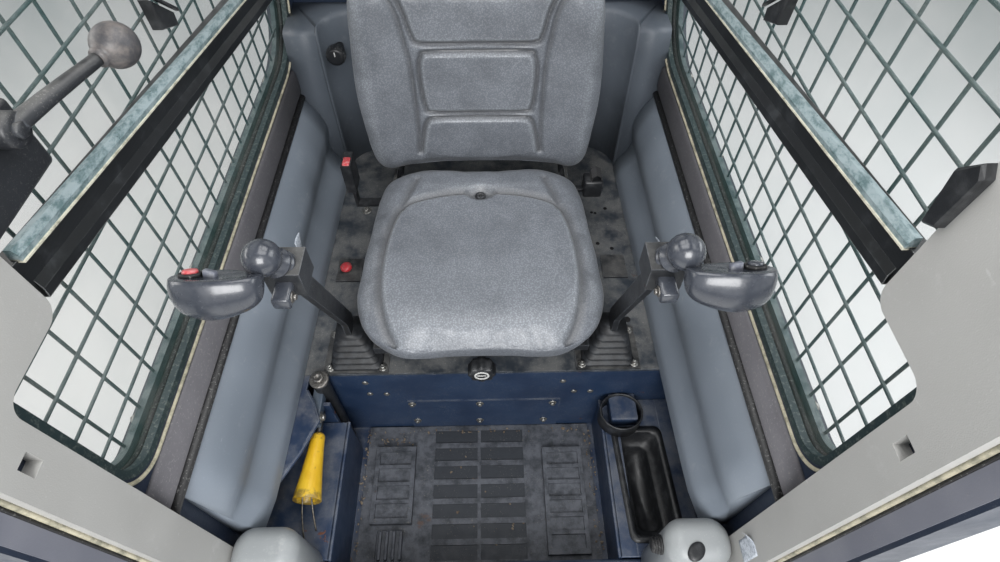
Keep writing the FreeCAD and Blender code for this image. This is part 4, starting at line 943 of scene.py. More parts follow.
for step in range(4):
    x = PEDAL_LOW[0] + PEDAL_RIB + step * PEDAL_PITCH
    slab(work, (x, PEDAL_LOW[1] + PEDAL_RIM, mat_top + PEDAL_SHEET - 0.0015),
         (x + PEDAL_RIB, PEDAL_HIGH[1] - PEDAL_RIM, mat_top + PEDAL_RISE), 0.0015)
new_piece("floor_pedal", work, mat_rubber, smooth=False)


# Crumbs of dried mud and leaf on the floor. They lie where the mat meets the ledges and in
# the corners at the riser's foot, where boots don't sweep them.
mud_crumb = two_tone("mud_crumb", (0.012, 2), (0.4, 0.6), (0.115, 0.085, 0.060),
                     (0.20, 0.165, 0.125), (0.0012, 0.0003), rough=0.9)
CRUMB_FIELDS = (((-0.300, -0.520), (-0.288, -0.200), 0.066, 60),
                ((0.250, -0.500), (0.268, -0.205), 0.066, 46),
                ((-0.280, -0.214), (0.240, -0.203), 0.066, 44),
                ((-0.262, -0.250), (-0.170, -0.225), 0.066, 26),
                ((-0.110, -0.500), (0.130, -0.240), 0.063, 30))
chance = random.Random(5)
work = bmesh.new()
for low, high, height, count in CRUMB_FIELDS:
    for _ in range(count):
        size = chance.uniform(0.0010, 0.0034)
        place = Vector((chance.uniform(low[0], high[0]), chance.uniform(low[1], high[1]),
                        height + size * 0.4))
        made = bmesh.ops.create_icosphere(work, subdivisions=1, radius=size)
        twist = Matrix.Rotation(chance.uniform(0, 6.28), 3, "Z")
        stretch = (chance.uniform(0.6, 1.7), chance.uniform(0.5, 1.1), chance.uniform(0.35, 0.7))
        for corner in made["verts"]:
            bump = chance.uniform(0.75, 1.2)
            spot = Vector((corner.co[axis] * stretch[axis] * bump for axis in range(3)))
            corner.co = place + twist @ spot
new_piece("floor_crumbs", work, mud_crumb, smooth=False)


# Hold-down post, seat base and other small steel. Black paint worn to steel on the edges,
# with a worn bolt on the post's washer.
black_paint = painted_steel("black_paint", (0.012, 0.013, 0.015), (0.020, 0.022, 0.026),
                            0.45, 0.30, 0.35, 0.55)
dress(black_paint, "hold_down_post", "seat_base", "restraint_brackets", "control_plates",
      "seat_pan", "stick_socket_left", "stick_socket_right", "stick_arm_left",
      "stick_arm_right", "restraint_bar")
bolt_steel = zinc("bolt_steel", (0.26, 0.25, 0.235))
post_low, post_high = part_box("hold_down_post")
POST_X, POST_Y = (post_low.x + post_high.x) / 2, (post_low.y + post_high.y) / 2
work = bmesh.new()
turned(work, [(0.0205, 0), (0.0205, 0.0030), (0.0190, 0.0042), (0.0135, 0.0042)],
       (POST_X, POST_Y, post_high.z - 0.002), (0, 0, 1), 36)
turned(work, [(0.0120, 0), (0.0120, 0.0075), (0.0105, 0.0090), (0.0070, 0.0090),
              (0.0055, 0.0070)], (POST_X, POST_Y, post_high.z + 0.002), (0, 0, 1), 6, 0.2)
new_piece("post_bolt", work, bolt_steel)


# Gusset of the lock. Navy sheet with a rolled lip, welded to the wall and to the deck's front
# corner above the left ledge.
GUSSET = ((-0.447, -0.190), (-0.3725, -0.190), (-0.3745, -0.225), (-0.3550, -0.255),
          (-0.3390, -0.2925), (-0.3630, -0.3575), (-0.4080, -0.440), (-0.447, -0.440))
GUSSET_TOP, GUSSET_SHEET = 0.348, 0.006
LINK_LOW, LINK_HIGH = (-0.3645, -0.292, 0.305), (-0.3425, -0.196, 0.333)
LINK_BOLT = (-0.274, 0.3190)
work = bmesh.new()
plate(work, GUSSET, lambda point, height: (point.x, point.y, GUSSET_TOP - GUSSET_SHEET + height),
      GUSSET_SHEET, 0.0015)
tube(work, [(x, y, GUSSET_TOP - 0.005) for x, y in GUSSET[2:7]], 0.0042)
new_piece("lock_gusset", work, navy_paint, smooth=False)


# Link bar beside the post. Flat steel in lighter blue paint, with a zinc bolt through it.
link_paint = painted_steel("link_paint", (0.060, 0.085, 0.120), (0.085, 0.115, 0.160),
                           0.4, 0.2, 0.4, 0.5)
work = bmesh.new()
slab(work, LINK_LOW, LINK_HIGH, 0.0025)
new_piece("lock_link", work, link_paint, smooth=False)
work = bmesh.new()
bolt(work, (LINK_HIGH[0], *LINK_BOLT), (1, 0, 0), 0.013)
new_piece("link_bolt", work, bolt_zinc)


# Throttle lever on the left post. A black clamp block, a round hub, and a thin tapered rod
# that bends inward to a worn ball.
ball_worn = two_tone("ball_worn", (0.02, 5, 0.72), (0.35, 0.68), (0.045, 0.045, 0.050),
                     (0.135, 0.120, 0.112), (0.006, 0.0003), rough=0.45)


def round_profile(radius, degrees):
    """A ball's profile for turned, over a range of degrees from its waist."""
    return [(radius * math.cos(math.radians(angle)), radius * math.sin(math.radians(angle)))
            for angle in degrees]


LEVER_HUB, LEVER_BALL = Vector((-0.413, -0.352, 1.130)), Vector((-0.350, -0.235, 1.141))
LEVER_WALL, BALL_RADIUS = -0.430, 0.0225
work = bmesh.new()
slab(work, (LEVER_WALL, -0.450, 1.070), (-0.413, -0.322, 1.145), 0.005)
turned(work, [(0.017, 0), (0.017, 0.030), (0.0155, 0.034), (0.008, 0.034)],
       (LEVER_WALL, LEVER_HUB.y, LEVER_HUB.z), (1, 0, 0), 32)
turned(work, [(0.0085, 0.033), (0.0085, 0.037), (0.0070, 0.0385)],
       (LEVER_WALL, LEVER_HUB.y, LEVER_HUB.z), (1, 0, 0), 6)
bend = LEVER_HUB.lerp(LEVER_BALL, 0.5) + Vector((0.004, -0.012, 0.003))
tube(work, eased([LEVER_HUB + Vector((0.008, 0, 0)), bend, LEVER_BALL], 8),
     [0.0095 - 0.0035 * step / 16 for step in range(17)], 14)
stands_for(new_piece("lever_rod", work, black_paint), "throttle_lever")
work = bmesh.new()
run = (LEVER_BALL - bend).normalized()
arc = round_profile(BALL_RADIUS, range(-62, 90, 8))
turned(work, [(0.0095, -0.0245), (0.0105, -0.0215)] + arc, LEVER_BALL, run, 32)
new_piece("lever_ball", work, ball_worn)


# Lock pull. A dipped yellow plastic sleeve over the pull rod, dirty and scuffed at both ends,
# with two thin steel strands that come out of its hollow front.
yellow_sleeve = Finish("yellow_sleeve", rough=0.36, Coat_Weight=0.25, Coat_Roughness=0.2)
sleeve_place = yellow_sleeve.along("Y")
SLEEVE_FRONT, SLEEVE_REAR, SLEEVE_X, SLEEVE_Z = -0.438, -0.303, -0.350, 0.292
sleeve_ends = yellow_sleeve.math("MAXIMUM", yellow_sleeve.span(
    sleeve_place, SLEEVE_FRONT + 0.030, SLEEVE_FRONT), yellow_sleeve.span(
        sleeve_place, -0.322, -0.296))
sleeve_dirt = yellow_sleeve.span(yellow_sleeve.math("ADD", yellow_sleeve.times(sleeve_ends, 0.22),
                                                    yellow_sleeve.noise(0.016, 4, 0.72)),
                                 0.58, 0.78)
sleeve_tone = yellow_sleeve.patchy((0.05, 2), (0.35, 0.65), (0.82, 0.53, 0.035),
                                   (0.74, 0.44, 0.02))
sleeve_tone = yellow_sleeve.mix(yellow_sleeve.times(sleeve_dirt, 0.75), sleeve_tone,
                                (0.17, 0.12, 0.045))
yellow_sleeve.colour(sleeve_tone)
yellow_sleeve.relief((yellow_sleeve.noise(0.008), 0.0006), (yellow_sleeve.noise(0.05, 1), 0.001))
work = bmesh.new()
turned(work, [(0.010, 0.004), (0.0135, 0), (0.0145, -0.004), (0.0160, -0.030), (0.0205, -0.075),
              (0.0255, -0.115), (0.0275, -0.128), (0.0282, -0.134), (0.0270, -0.135),
              (0.0240, -0.131), (0.0160, -0.075), (0.006, -0.050)],
       (SLEEVE_X, SLEEVE_REAR, SLEEVE_Z), (0, 1, 0), 40)
stands_for(new_piece("pull_sleeve", work, yellow_sleeve), "lock_sleeve")
work = bmesh.new()
tube(work, [(SLEEVE_X, y, SLEEVE_Z) for y in (-0.250, -0.280, -0.300)], 0.0060, 12)
slab(work, (SLEEVE_X - 0.004, -0.262, SLEEVE_Z - 0.010), (SLEEVE_X + 0.004, -0.249, 0.320), 0.002)
new_piece("pull_rod", work, black_paint)
strand_steel = zinc("strand_steel", (0.30, 0.27, 0.22))
STRANDS = (((-0.362, -0.412, 0.288), (-0.366, -0.452, 0.272), (-0.361, -0.494, 0.2345)),
           ((-0.348, -0.412, 0.286), (-0.345, -0.448, 0.268), (-0.339, -0.480, 0.2345)))
work = bmesh.new()
for strand in STRANDS:
    start, bend, end = (Vector(point) for point in strand)
    tube(work, [(1 - t) ** 2 * start + 2 * t * (1 - t) * bend + t * t * end
                for t in (step / 10 for step in range(11))], 0.0016)
new_piece("pull_strands", work, strand_steel)


# Cup tray. A deep black moulding with a folded rim sunk in the right ledge, a step inside for
# small things, and behind it an open ring that holds a cup.
TRAY_WIDE, TRAY_LONG, TRAY_ROUND, TRAY_SKEW = 0.098, 0.232, 0.016, -0.010
TRAY_CENTRE = Vector((0.359, -0.384))


def tray_ring(inset, level):
    """One level of the tray, a rounded box skewed to the middle at its rear."""
    ring = []
    for x, y in rounded_box(TRAY_WIDE - 2 * inset, TRAY_LONG - 2 * inset, TRAY_ROUND, 4):
        share = (y + TRAY_LONG / 2) / TRAY_LONG
        ring.append(Vector((TRAY_CENTRE.x + x + TRAY_SKEW * share, TRAY_CENTRE.y + y, level)))
    return ring


work = bmesh.new()
shape = [(0.004, 0.106), (0.000, 0.140), (-0.002, 0.1965), (-0.009, 0.1972), (-0.009, 0.2000),
         (0.002, 0.2005), (0.006, 0.196), (0.008, 0.160), (0.020, 0.157), (0.024, 0.152),
         (0.027, 0.112)]
lofted(work, [tray_ring(inset, level) for inset, level in shape])
stands_for(new_piece("tray", work, black_plastic), "cup_tray")
CUP_CENTRE, CUP_LOW, CUP_TOP = Vector((0.314, -0.238)), 0.198, 0.241
CUP_OUTER, CUP_WALL, CUP_SQUEEZE = 0.050, 0.005, 0.9
cup_inner = CUP_OUTER - CUP_WALL
work = bmesh.new()
ring = [(cup_inner, CUP_LOW), (CUP_OUTER, CUP_LOW), (CUP_OUTER, CUP_TOP - 0.003),
        (CUP_OUTER - 0.001, CUP_TOP - 0.0008), (CUP_OUTER - CUP_WALL / 2, CUP_TOP),
        (cup_inner + 0.001, CUP_TOP - 0.0008), (cup_inner, CUP_TOP - 0.003)]
bands = []
for step in range(48):
    angle = 2 * math.pi * step / 48
    bands.append([work.verts.new((CUP_CENTRE.x + radius * math.cos(angle),
                                  CUP_CENTRE.y + radius * math.sin(angle) * CUP_SQUEEZE,
                                  level))
                  for radius, level in ring])
for first, second in zip(bands, bands[1:] + bands[:1]):
    for step in range(len(ring)):
        after = (step + 1) % len(ring)
        work.faces.new((first[step], first[after], second[after], second[step]))
new_piece("cup_ring", work, black_plastic)


# Rubber boots of the sticks. Square folded bellows of black rubber, greyed in patches. They
# are clamped to the deck below.
boot_rubber = two_tone("boot_rubber", (0.02, 4, 0.7), (0.4, 0.7), (0.011, 0.012, 0.014),
                       (0.030, 0.033, 0.038), (0.003, 0.0003), rough=0.55)
STICK_X, STICK_Y, BOOT_LOW, BOOT_HIGH = 0.274, -0.134, 0.3523, 0.096
BOOT_WIDE, BOOT_DEEP, BOOT_NECK, BOOT_FOLDS = 0.057, 0.049, 0.029, 5
for label, side in (("left", -1), ("right", 1)):
    rings = []
    steps = BOOT_FOLDS * 6
    for step in range(steps + 1):
        share = step / steps
        fold = 0.0042 * (1 - math.cos(2 * math.pi * BOOT_FOLDS * share))
        wide = BOOT_WIDE * (1 - share) + BOOT_NECK * share - fold
        deep = BOOT_DEEP * (1 - share) + BOOT_NECK * share - fold
        rings.append([Vector((side * STICK_X + x, STICK_Y + y, BOOT_LOW + BOOT_HIGH * share))
                      for x, y in rounded_box(2 * wide, 2 * deep, 0.013)])
    work = bmesh.new()
    lofted(work, rings)
    boot = stands_for(new_piece("boot_" + label, work, boot_rubber, body=None),
                      "stick_boot_" + label)
    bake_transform(boot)


# Crosses inside the boots. Machined steel with a light film of grease.
cross_steel = Finish("cross_steel", rough=0.3, metal=1.0)
cross_steel.colour(cross_steel.mix(cross_steel.noise(0.01), (0.38, 0.38, 0.37),
                                   (0.22, 0.21, 0.19)))
cross_steel.relief((cross_steel.noise(0.001, 2, 0.5, (1, 8, 1)), 0.00005))
dress(cross_steel, "stick_gimbal_left", "stick_gimbal_right")


# Grips. Hard plastic pods, dark blue-grey and polished by gloves, on a ribbed neck and a
# ball. Each has a flat dished face tilted to the rear, with a round button in a black recess
# at its outer end and a grey rocker beside it. A cap screw holds each clamp lug.
grip_plastic = Finish("grip_plastic", rough=0.22, Coat_Weight=0.4, Coat_Roughness=0.10)
grip_tone = grip_plastic.patchy((0.03, 4, 0.7), (0.42, 0.75), (0.040, 0.045, 0.057),
                                (0.062, 0.068, 0.082))
grip_scuff = grip_plastic.span(grip_plastic.noise(0.005, 3, 0.75, (1, 0.4, 1)), 0.66, 0.72)
grip_plastic.colour(grip_plastic.mix(grip_plastic.times(grip_scuff, 0.25), grip_tone,
                                     (0.22, 0.23, 0.25)))
grip_plastic.uneven_gloss((0.012, 4), 0.26, 0.12)
grip_plastic.relief((grip_plastic.cells(0.0016), 0.00004))
button_red = two_tone("button_red", (0.006, 4), (0.4, 0.7), (0.52, 0.055, 0.065),
                      (0.60, 0.22, 0.22), (0.002, 0.0001), rough=0.35)
rocker_grey = two_tone("rocker_grey", (0.008, 3), (0.4, 0.7), (0.155, 0.165, 0.205),
                       (0.26, 0.27, 0.30), (0.002, 0.0001), rough=0.4)
POD_CENTRE, POD_TILT = Vector((0.341, -0.318, 0.851)), math.radians(38)
POD_UP = Vector((0, math.sin(POD_TILT), math.cos(POD_TILT)))
POD_FAR = Vector((0, math.cos(POD_TILT), -math.sin(POD_TILT)))
POD_FLAT, POD_HALF, POD_RADIUS, POD_BELLY, POD_BOWL = 0.012, 0.060, 0.036, 1.35, 0.004
POD_PROFILE = ((-1, 0.0), (-0.985, 0.20), (-0.90, 0.52), (-0.55, 0.80), (0.1, 1), (0.66, 0.86),
               (0.93, 0.46), (1, 0.0))
CLAMP, KNUCKLE = Vector((0.274, -0.256, 0.810)), Vector((0.289, -0.278, 0.856))
KNUCKLE_RADIUS = 0.0265
NECK = ((0.0205, 0.0), (0.0205, 0.003), (0.0170, 0.005), (0.0170, 0.007), (0.0215, 0.009),
        (0.0215, 0.013), (0.0175, 0.015), (0.0175, 0.017), (0.0220, 0.019), (0.0220, 0.023),
        (0.0180, 0.025), (0.0180, 0.040))


def on_pod(side, across, far, high):
    """A point in a pod's own frame, with its flat face tilted to the rear."""
    return Vector((side * (POD_CENTRE.x + across), POD_CENTRE.y, POD_CENTRE.z)) + (
        POD_FAR * far + POD_UP * high)


for label, side in (("left", -1), ("right", 1)):
    rings = []
    for across, wide in (tuple(point) for point in eased([Vector(point)
                                                          for point in POD_PROFILE], 4)):
        ring = []
        for step in range(48):
            angle = 2 * math.pi * step / 48
            radius = max(wide, 0.02) * POD_RADIUS
            far, high = radius * math.cos(angle), radius * math.sin(angle)
            if high < 0:
                high *= POD_BELLY
            if high > POD_FLAT:
                bowl = max(1 - (far / 0.025) ** 2 - (across / 0.9) ** 2, 0)
                high = POD_FLAT + (high - POD_FLAT) * 0.06 - POD_BOWL * bowl
            ring.append(on_pod(side, across * POD_HALF, far, high))
        rings.append(ring)
    work = bmesh.new()
    lofted(work, rings)
    foot = Vector((side * CLAMP.x, CLAMP.y, CLAMP.z))
    ball = Vector((side * KNUCKLE.x, KNUCKLE.y, KNUCKLE.z))
    turned(work, NECK, foot, (ball - foot).normalized(), 36)
    turned(work, round_profile(KNUCKLE_RADIUS, range(-60, 91, 10)), ball,
           (side * 0.35, -0.5, 0.8), 40)
    slab(work, (side * CLAMP.x - 0.013, -0.315, 0.784), (side * CLAMP.x + 0.013, -0.262, 0.806),
         0.004)
    stands_for(new_piece("grip_" + label, work, grip_plastic, "stick_" + label),
               "stick_grip_" + label)
    button = on_pod(side, 0.034, 0.004, POD_FLAT - 0.002)
    work = bmesh.new()
    turned(work, [(0.0150, 0), (0.0150, 0.0052), (0.0138, 0.0062), (0.0112, 0.0058),
                  (0.0106, 0.0030)], button, POD_UP, 32)
    new_piece("grip_recess_" + label, work, black_rubber_and_groove_shade, "stick_" + label)
    work = bmesh.new()
    turned(work, [(0.0102, 0.0028), (0.0102, 0.0078), (0.0090, 0.0096), (0.0050, 0.0104)],
           button, POD_UP, 32)
    new_piece("grip_button_" + label, work, button_red if side < 0 else grip_plastic,
              "stick_" + label)
    work = bmesh.new()
    bolt(work, (side * 0.261, -0.300, 0.7950), (-side, 0, 0), 0.009)
    new_piece("clamp_bolt_" + label, work, bolt_steel, "stick_" + label)
    work = bmesh.new()
    plate(work, rounded_box(0.017, 0.012, 0.003), lambda point, height: on_pod(
        side, 0.009 + point.x * side, 0.006 + point.y,
        POD_FLAT - 0.006 + height + 0.25 * point.x * side), 0.012, 0.0015)
    new_piece("grip_rocker_" + label, work, rocker_grey, "stick_" + label)


# Knobs. A red mushroom knob on the left control plate and a black ribbed knob with a pale
# pointer on the rear wall.
knob_plastic = two_tone("knob_plastic", (0.008, 4), (0.45, 0.7), (0.47, 0.035, 0.045),
                        (0.30, 0.10, 0.10), (0.002, 0.00015), rough=0.35)
RED_KNOB, WALL_KNOB = (-0.332, 0.095, 0.3530), Vector((-0.345, 0.483, 0.681))
WALL_KNOB_RADIUS, WALL_KNOB_RIBS = 0.0218, 18
work = bmesh.new()
turned(work, [(0.006, 0), (0.006, 0.004), (0.0125, 0.005), (0.0142, 0.0075), (0.0138, 0.0120),
              (0.0115, 0.0150), (0.0060, 0.0165)], RED_KNOB, (0, 0, 1), 36)
stands_for(new_piece("red_knob", work, knob_plastic), "knobs")
work = bmesh.new()
turned(work, [(0.012, 0.070), (0.012, 0.030), (0.0205, 0.028), (0.0215, 0.024), (0.0215, 0.003),
              (0.0200, 0), (0.0150, -0.0004)], WALL_KNOB, (0, 1, 0), 36)
new_piece("wall_knob", work, black_plastic)
pale_mark = two_tone("pale_mark", (0.003, 4), (0.4, 0.7), (0.62, 0.62, 0.60),
                     (0.35, 0.35, 0.34), (0.002, 0.0001), rough=0.5)
work = bmesh.new()
plate(work, rounded_box(0.0028, 0.012, 0.0012), lambda point, height: (
    WALL_KNOB.x + point.x, WALL_KNOB.y - height, WALL_KNOB.z + 0.009 + point.y), 0.0012, 0.0004)
new_piece("wall_knob_pointer", work, pale_mark)
work = bmesh.new()
for step in range(WALL_KNOB_RIBS):
    angle = 2 * math.pi * step / WALL_KNOB_RIBS
    tube(work, [(WALL_KNOB.x + WALL_KNOB_RADIUS * math.cos(angle), WALL_KNOB.y + far,
                 WALL_KNOB.z + WALL_KNOB_RADIUS * math.sin(angle))
                for far in (0.004, 0.012, 0.020)],
         0.0016, 6)
new_piece("wall_knob_ribs", work, black_plastic)


# Work lamps. Black cases under the roof's corners, each with a prism-cut glass front in a
# raised bezel.
lamp_glass = Finish("lamp_glass", rough=0.12, Coat_Weight=1.0, Coat_Roughness=0.04)
lamp_ribs = lamp_glass.math("SINE", lamp_glass.times(lamp_glass.along("X"), 900.0), 0.0)
lamp_glass.colour(lamp_glass.mix(lamp_glass.span(lamp_ribs, -1.0, 1.0), (0.52, 0.55, 0.56),
                                 (0.74, 0.76, 0.76)))
lamp_glass.relief((lamp_ribs, 0.0008), (lamp_glass.noise(0.01), 0.0002))
lamp_low, lamp_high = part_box("work_lamps")
LAMP_X, LAMP_Z = lamp_high.x - 0.055, (lamp_low.z + lamp_high.z) / 2
LENS_WIDE, LENS_TALL, BEZEL_MARGIN = 0.094, 0.048, 0.004
for label, side in (("left", -1), ("right", 1)):
    for end, out in (("front", -1), ("rear", 1)):
        face = out * lamp_high.y
        work = bmesh.new()
        plate(work, rounded_box(LENS_WIDE, LENS_TALL, 0.008), lambda point, height: (
            side * LAMP_X + point.x, face + out * (height - 0.0005), LAMP_Z + point.y),
              0.0035, 0.0015)
        new_piece("lamp_glass_" + end + "_" + label, work, lamp_glass)
        work = bmesh.new()
        tube(work, [(side * LAMP_X + x, face + out * 0.001, LAMP_Z + z)
                    for x, z in rounded_box(LENS_WIDE + BEZEL_MARGIN, LENS_TALL + BEZEL_MARGIN,
                                            0.010)] + [
            (side * LAMP_X + 0.049, face + out * 0.001, LAMP_Z + 0.016)], 0.0028, 6,
             lead=(0, 1, 0))
        new_piece("lamp_bezel_" + end + "_" + label, work, black_plastic)


# Belt. The buckle's stalk leans in from the left with a red push button. On the right a black
# moulded retractor is fixed beside the seat, and a short loop of woven web stands out of it.
buckle_low, buckle_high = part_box("belt_buckle")
work = bmesh.new()
plate(work, rounded_box(0.016, 0.028, 0.003), lambda point, height: (
    buckle_low.x + 0.011 + point.x, buckle_low.y + 0.018 + point.y,
    buckle_high.z - 0.0015 + height), 0.0035, 0.0012)
new_piece("buckle_button", work, button_red, "seat")
belt_web = Finish("belt_web", rough=0.8)
belt_weave = belt_web.math("SINE", belt_web.times(belt_web.along("Y"), 2600.0), 0.0)
belt_web.colour(belt_web.mix(belt_web.span(belt_weave, -1.0, 1.0), (0.018, 0.018, 0.020),
                             (0.045, 0.045, 0.047)))
belt_web.relief((belt_weave, 0.0002), (belt_web.noise(0.004), 0.0002))
reel_low, reel_high = Vector((0.252, 0.240, 0.444)), Vector((0.298, 0.280, 0.494))
REEL_HUB, WEB_HALF, WEB_THICK = (0.26, 0.468), 0.016, 0.0012
work = bmesh.new()
slab(work, reel_low, reel_high, 0.005)
slab(work, (0.215, 0.252, 0.452), (0.254, 0.268, 0.462), 0.002)
turned(work, [(0.012, 0), (0.012, 0.003), (0.010, 0.004)], (reel_high.x, *REEL_HUB),
       (1, 0, 0), 24)
new_piece("belt_retractor", work, black_plastic, "seat")
work = bmesh.new()
reel_middle = (reel_low.y + reel_high.y) / 2
web = [(reel_high.x - 0.030, reel_high.z - 0.002), (reel_high.x - 0.028, reel_high.z + 0.012),
       (reel_high.x - 0.018, reel_high.z + 0.020), (reel_high.x - 0.007, reel_high.z + 0.014),
       (reel_high.x - 0.004, reel_high.z + 0.002)]
rings = []
for index, (x, z) in enumerate(web):
    before, after = web[max(index - 1, 0)], web[min(index + 1, len(web) - 1)]
    run = Vector((after[0] - before[0], after[1] - before[1])).normalized() * WEB_THICK
    rings.append([(x + sign * -run.y, reel_middle + y, z + sign * run.x)
                  for sign, y in ((1, -WEB_HALF), (1, WEB_HALF), (-1, WEB_HALF),
                                  (-1, -WEB_HALF))])
lofted(work, rings)
new_piece("belt_tongue", work, belt_web, "seat", smooth=False)


# Knob under the cushion's front. A lobed black moulding on a short shaft, with a pale ring and
# bar printed on its face.
KNOB = Vector((0, -0.250, 0.4475))
KNOB_RADIUS, KNOB_LOBE, KNOB_LOBES, KNOB_DEEP = 0.0255, 0.0022, 8, 0.030
work = bmesh.new()
rings = []
for shrink, far in ((0.0040, 0.0), (0.0012, 0.0006), (0.0002, 0.0024), (0.0, 0.006), (0.0, 0.024),
                    (0.004, KNOB_DEEP)):
    ring = []
    for step in range(64):
        angle = 2 * math.pi * step / 64
        radius = KNOB_RADIUS - shrink + KNOB_LOBE * math.cos(KNOB_LOBES * angle)
        ring.append(KNOB + Vector((radius * math.cos(angle), far, radius * math.sin(angle))))
    rings.append(ring)
lofted(work, rings)
turned(work, [(0.009, KNOB_DEEP - 0.001), (0.009, 0.058)], KNOB, (0, 1, 0), 20)
stands_for(new_piece("slide_knob", work, black_plastic, "seat"), "seat_knob")
work = bmesh.new()
turned(work, [(0.0150, -0.0010), (0.0150, 0.0004), (0.0142, 0.0010), (0.0116, 0.0010),
              (0.0108, 0.0004), (0.0108, -0.0010)], KNOB, (0, -1, 0), 36)
slab(work, KNOB + Vector((-0.009, -0.0008, -0.0014)), KNOB + Vector((0.009, 0.001, 0.0014)),
     0.0004)
new_piece("knob_ring", work, pale_mark, "seat")


# Seat cushion. Foam under grey vinyl, moulded in one piece with pressed grooves round a
# sunk middle and a drain dimple at the rear. It starts as a smaller block that is blown up
# as cloth, then the grooves are pressed in.
CUSHION_HALF = ((0, -236), (60, -236), (112, -236), (154, -230), (194, -206), (225, -172),
                (243, -125), (248, -75), (248, -20), (244, 32), (236, 110), (226, 165),
                (206, 212), (164, 243), (112, 256), (0, 258))
CUSHION_PANEL = ((0, -245), (150, -245), (163, -222), (181, -188), (194, -139), (201, -82),
                 (200, -16), (192, 48), (178, 95), (157, 119), (121, 135), (76, 147), (30, 153),
                 (0, 153))
CUSHION_GROOVES = (CUSHION_PANEL[2:13], ((172, 104), (163, 148), (146, 200)))
CUSHION_LOW, CUSHION_HIGH, CUSHION_SIDE = 0.4690, 0.5560, 0.2495
CUSHION_FRONT, CUSHION_REAR = -0.238, 0.258
GROOVE_DEPTH, GROOVE_INNER, GROOVE_OUTER = 0.0085, 0.0052, 0.0125

vinyl = Finish("seat_vinyl", rough=0.38, Sheen_Weight=0.10, Sheen_Roughness=0.4)
vinyl_pressed = vinyl.stored("pressed")
vinyl_highlight_and_wear = vinyl.stored("worn")
vinyl_tone = vinyl.patchy((0.10, 4, 0.62), (0.34, 0.66), (0.132, 0.142, 0.160),
                          (0.190, 0.204, 0.228))
# The stored 'worn' values lighten the vinyl: mostly a painted highlight along the panel rims, the
# front and the side edges, with some real wear.
vinyl_tone = vinyl.mix(vinyl.times(vinyl_highlight_and_wear, 0.60), vinyl_tone, (0.35, 0.372, 0.40))
vinyl_speck = vinyl.span(vinyl.cells(0.0036), 0.22, 0.60)
vinyl_tone = vinyl.mix(vinyl.times(vinyl_speck, 0.46), vinyl_tone, (0.062, 0.070, 0.084))
vinyl_fleck = vinyl.span(vinyl.noise(0.0022, 2, 0.7), 0.56, 0.68)
vinyl_tone = vinyl.mix(vinyl.times(vinyl_fleck, 0.22), vinyl_tone, (0.46, 0.49, 0.53))
vinyl_tone = vinyl.mix(vinyl.times(vinyl_pressed, 0.75), vinyl_tone, (0.070, 0.069, 0.070))
vinyl.colour(vinyl_tone)
vinyl.uneven_gloss((0.02, 4), 0.26, 0.25)
vinyl.relief((vinyl.cells(0.0030), 0.00030), (vinyl.noise(0.05, 3), 0.0010))


def smooth_loop(half, steps):
    """A closed outline from one half, mirrored, as a rounded line through its points."""
    points = [Vector((x, y)) for x, y in half] + [Vector((-x, y)) for x, y in half[-2:0:-1]]
    count = len(points)
    line = []
    for index in range(count):
        around = (points[(index + shift) % count] for shift in (-1, 0, 1, 2))
        line += [point / 1000 for point in rounded_stretch(*around, steps)]
    return line


def foam_block(name, half, inset, low, high, round_low, round_high):
    """A block inside the outline with rounded rims, for the cloth to blow up from."""
    line = smooth_loop(half, 6)
    middle = sum(line, Vector((0, 0))) / len(line)
    levels = []
    for radius, base, sign in ((round_low, low, 1), (round_high, high, -1)):
        arc = [(inset + radius * (1 - math.sin(math.pi / 2 * step / 4)),
                base + sign * radius * (1 - math.cos(math.pi / 2 * step / 4)))
               for step in range(5)]
        levels += arc if sign > 0 else arc[::-1]
    work = bmesh.new()
    lofted(work, [[(*(middle + (point - middle) * (1 - shrink / (point - middle).length)), level)
                   for point in line] for shrink, level in levels])
    return new_piece(name, work, vinyl, body=None)


def keep_shape(item, kind, **settings):
    """Add a modifier, apply it and leave its mesh on the piece."""
    modifier = item.modifiers.new(kind.lower(), kind)
    for setting, value in settings.items():
        setattr(modifier, setting, value)
    with bpy.context.temp_override(object=item, active_object=item, selected_objects=[item]):
        bpy.ops.object.modifier_apply(modifier=modifier.name)


def points_of(item, field="co"):
    """The places of a mesh's points, or their normals, as rows of three."""
    flat = np.zeros(len(item.data.vertices) * 3)
    item.data.vertices.foreach_get(field, flat)
    return flat.reshape(-1, 3)


def move_points(item, points):
    """Put a mesh's points in new places."""
    item.data.vertices.foreach_set("co", points.ravel())
    item.data.update()


def blown_up(item, voxel, pressure, reach):
    """Blow a block up like stuffed vinyl, moving no point further than the reach."""
    keep_shape(item, "REMESH", mode="VOXEL", voxel_size=voxel)
    start = points_of(item)
    cloth = item.modifiers.new("cloth", "CLOTH")
    cloth.settings.use_pressure = True
    cloth.settings.uniform_pressure_force = pressure
    cloth.settings.effector_weights.gravity = 0
    cloth.settings.quality = 4
    cloth.point_cache.frame_end = 20
    for moment in range(1, 21):
        bpy.context.scene.frame_set(moment)
    shape = item.evaluated_get(bpy.context.evaluated_depsgraph_get())
    away = points_of(shape) - start
    length = np.maximum(np.linalg.norm(away, axis=1, keepdims=True), 1e-9)
    item.modifiers.remove(cloth)
    bpy.context.scene.frame_set(1)
    move_points(item, start + away / length * np.minimum(length, reach))
    keep_shape(item, "SMOOTH", factor=0.5, iterations=14)
    keep_shape(item, "SUBSURF", levels=1)


def fitted(item, low, high):
    """Scale a piece's points into a box."""
    points = points_of(item)
    lowest, highest = points.min(0), points.max(0)
    return np.array(low) + (points - lowest) / (highest - lowest) * (
        np.array(high) - np.array(low))


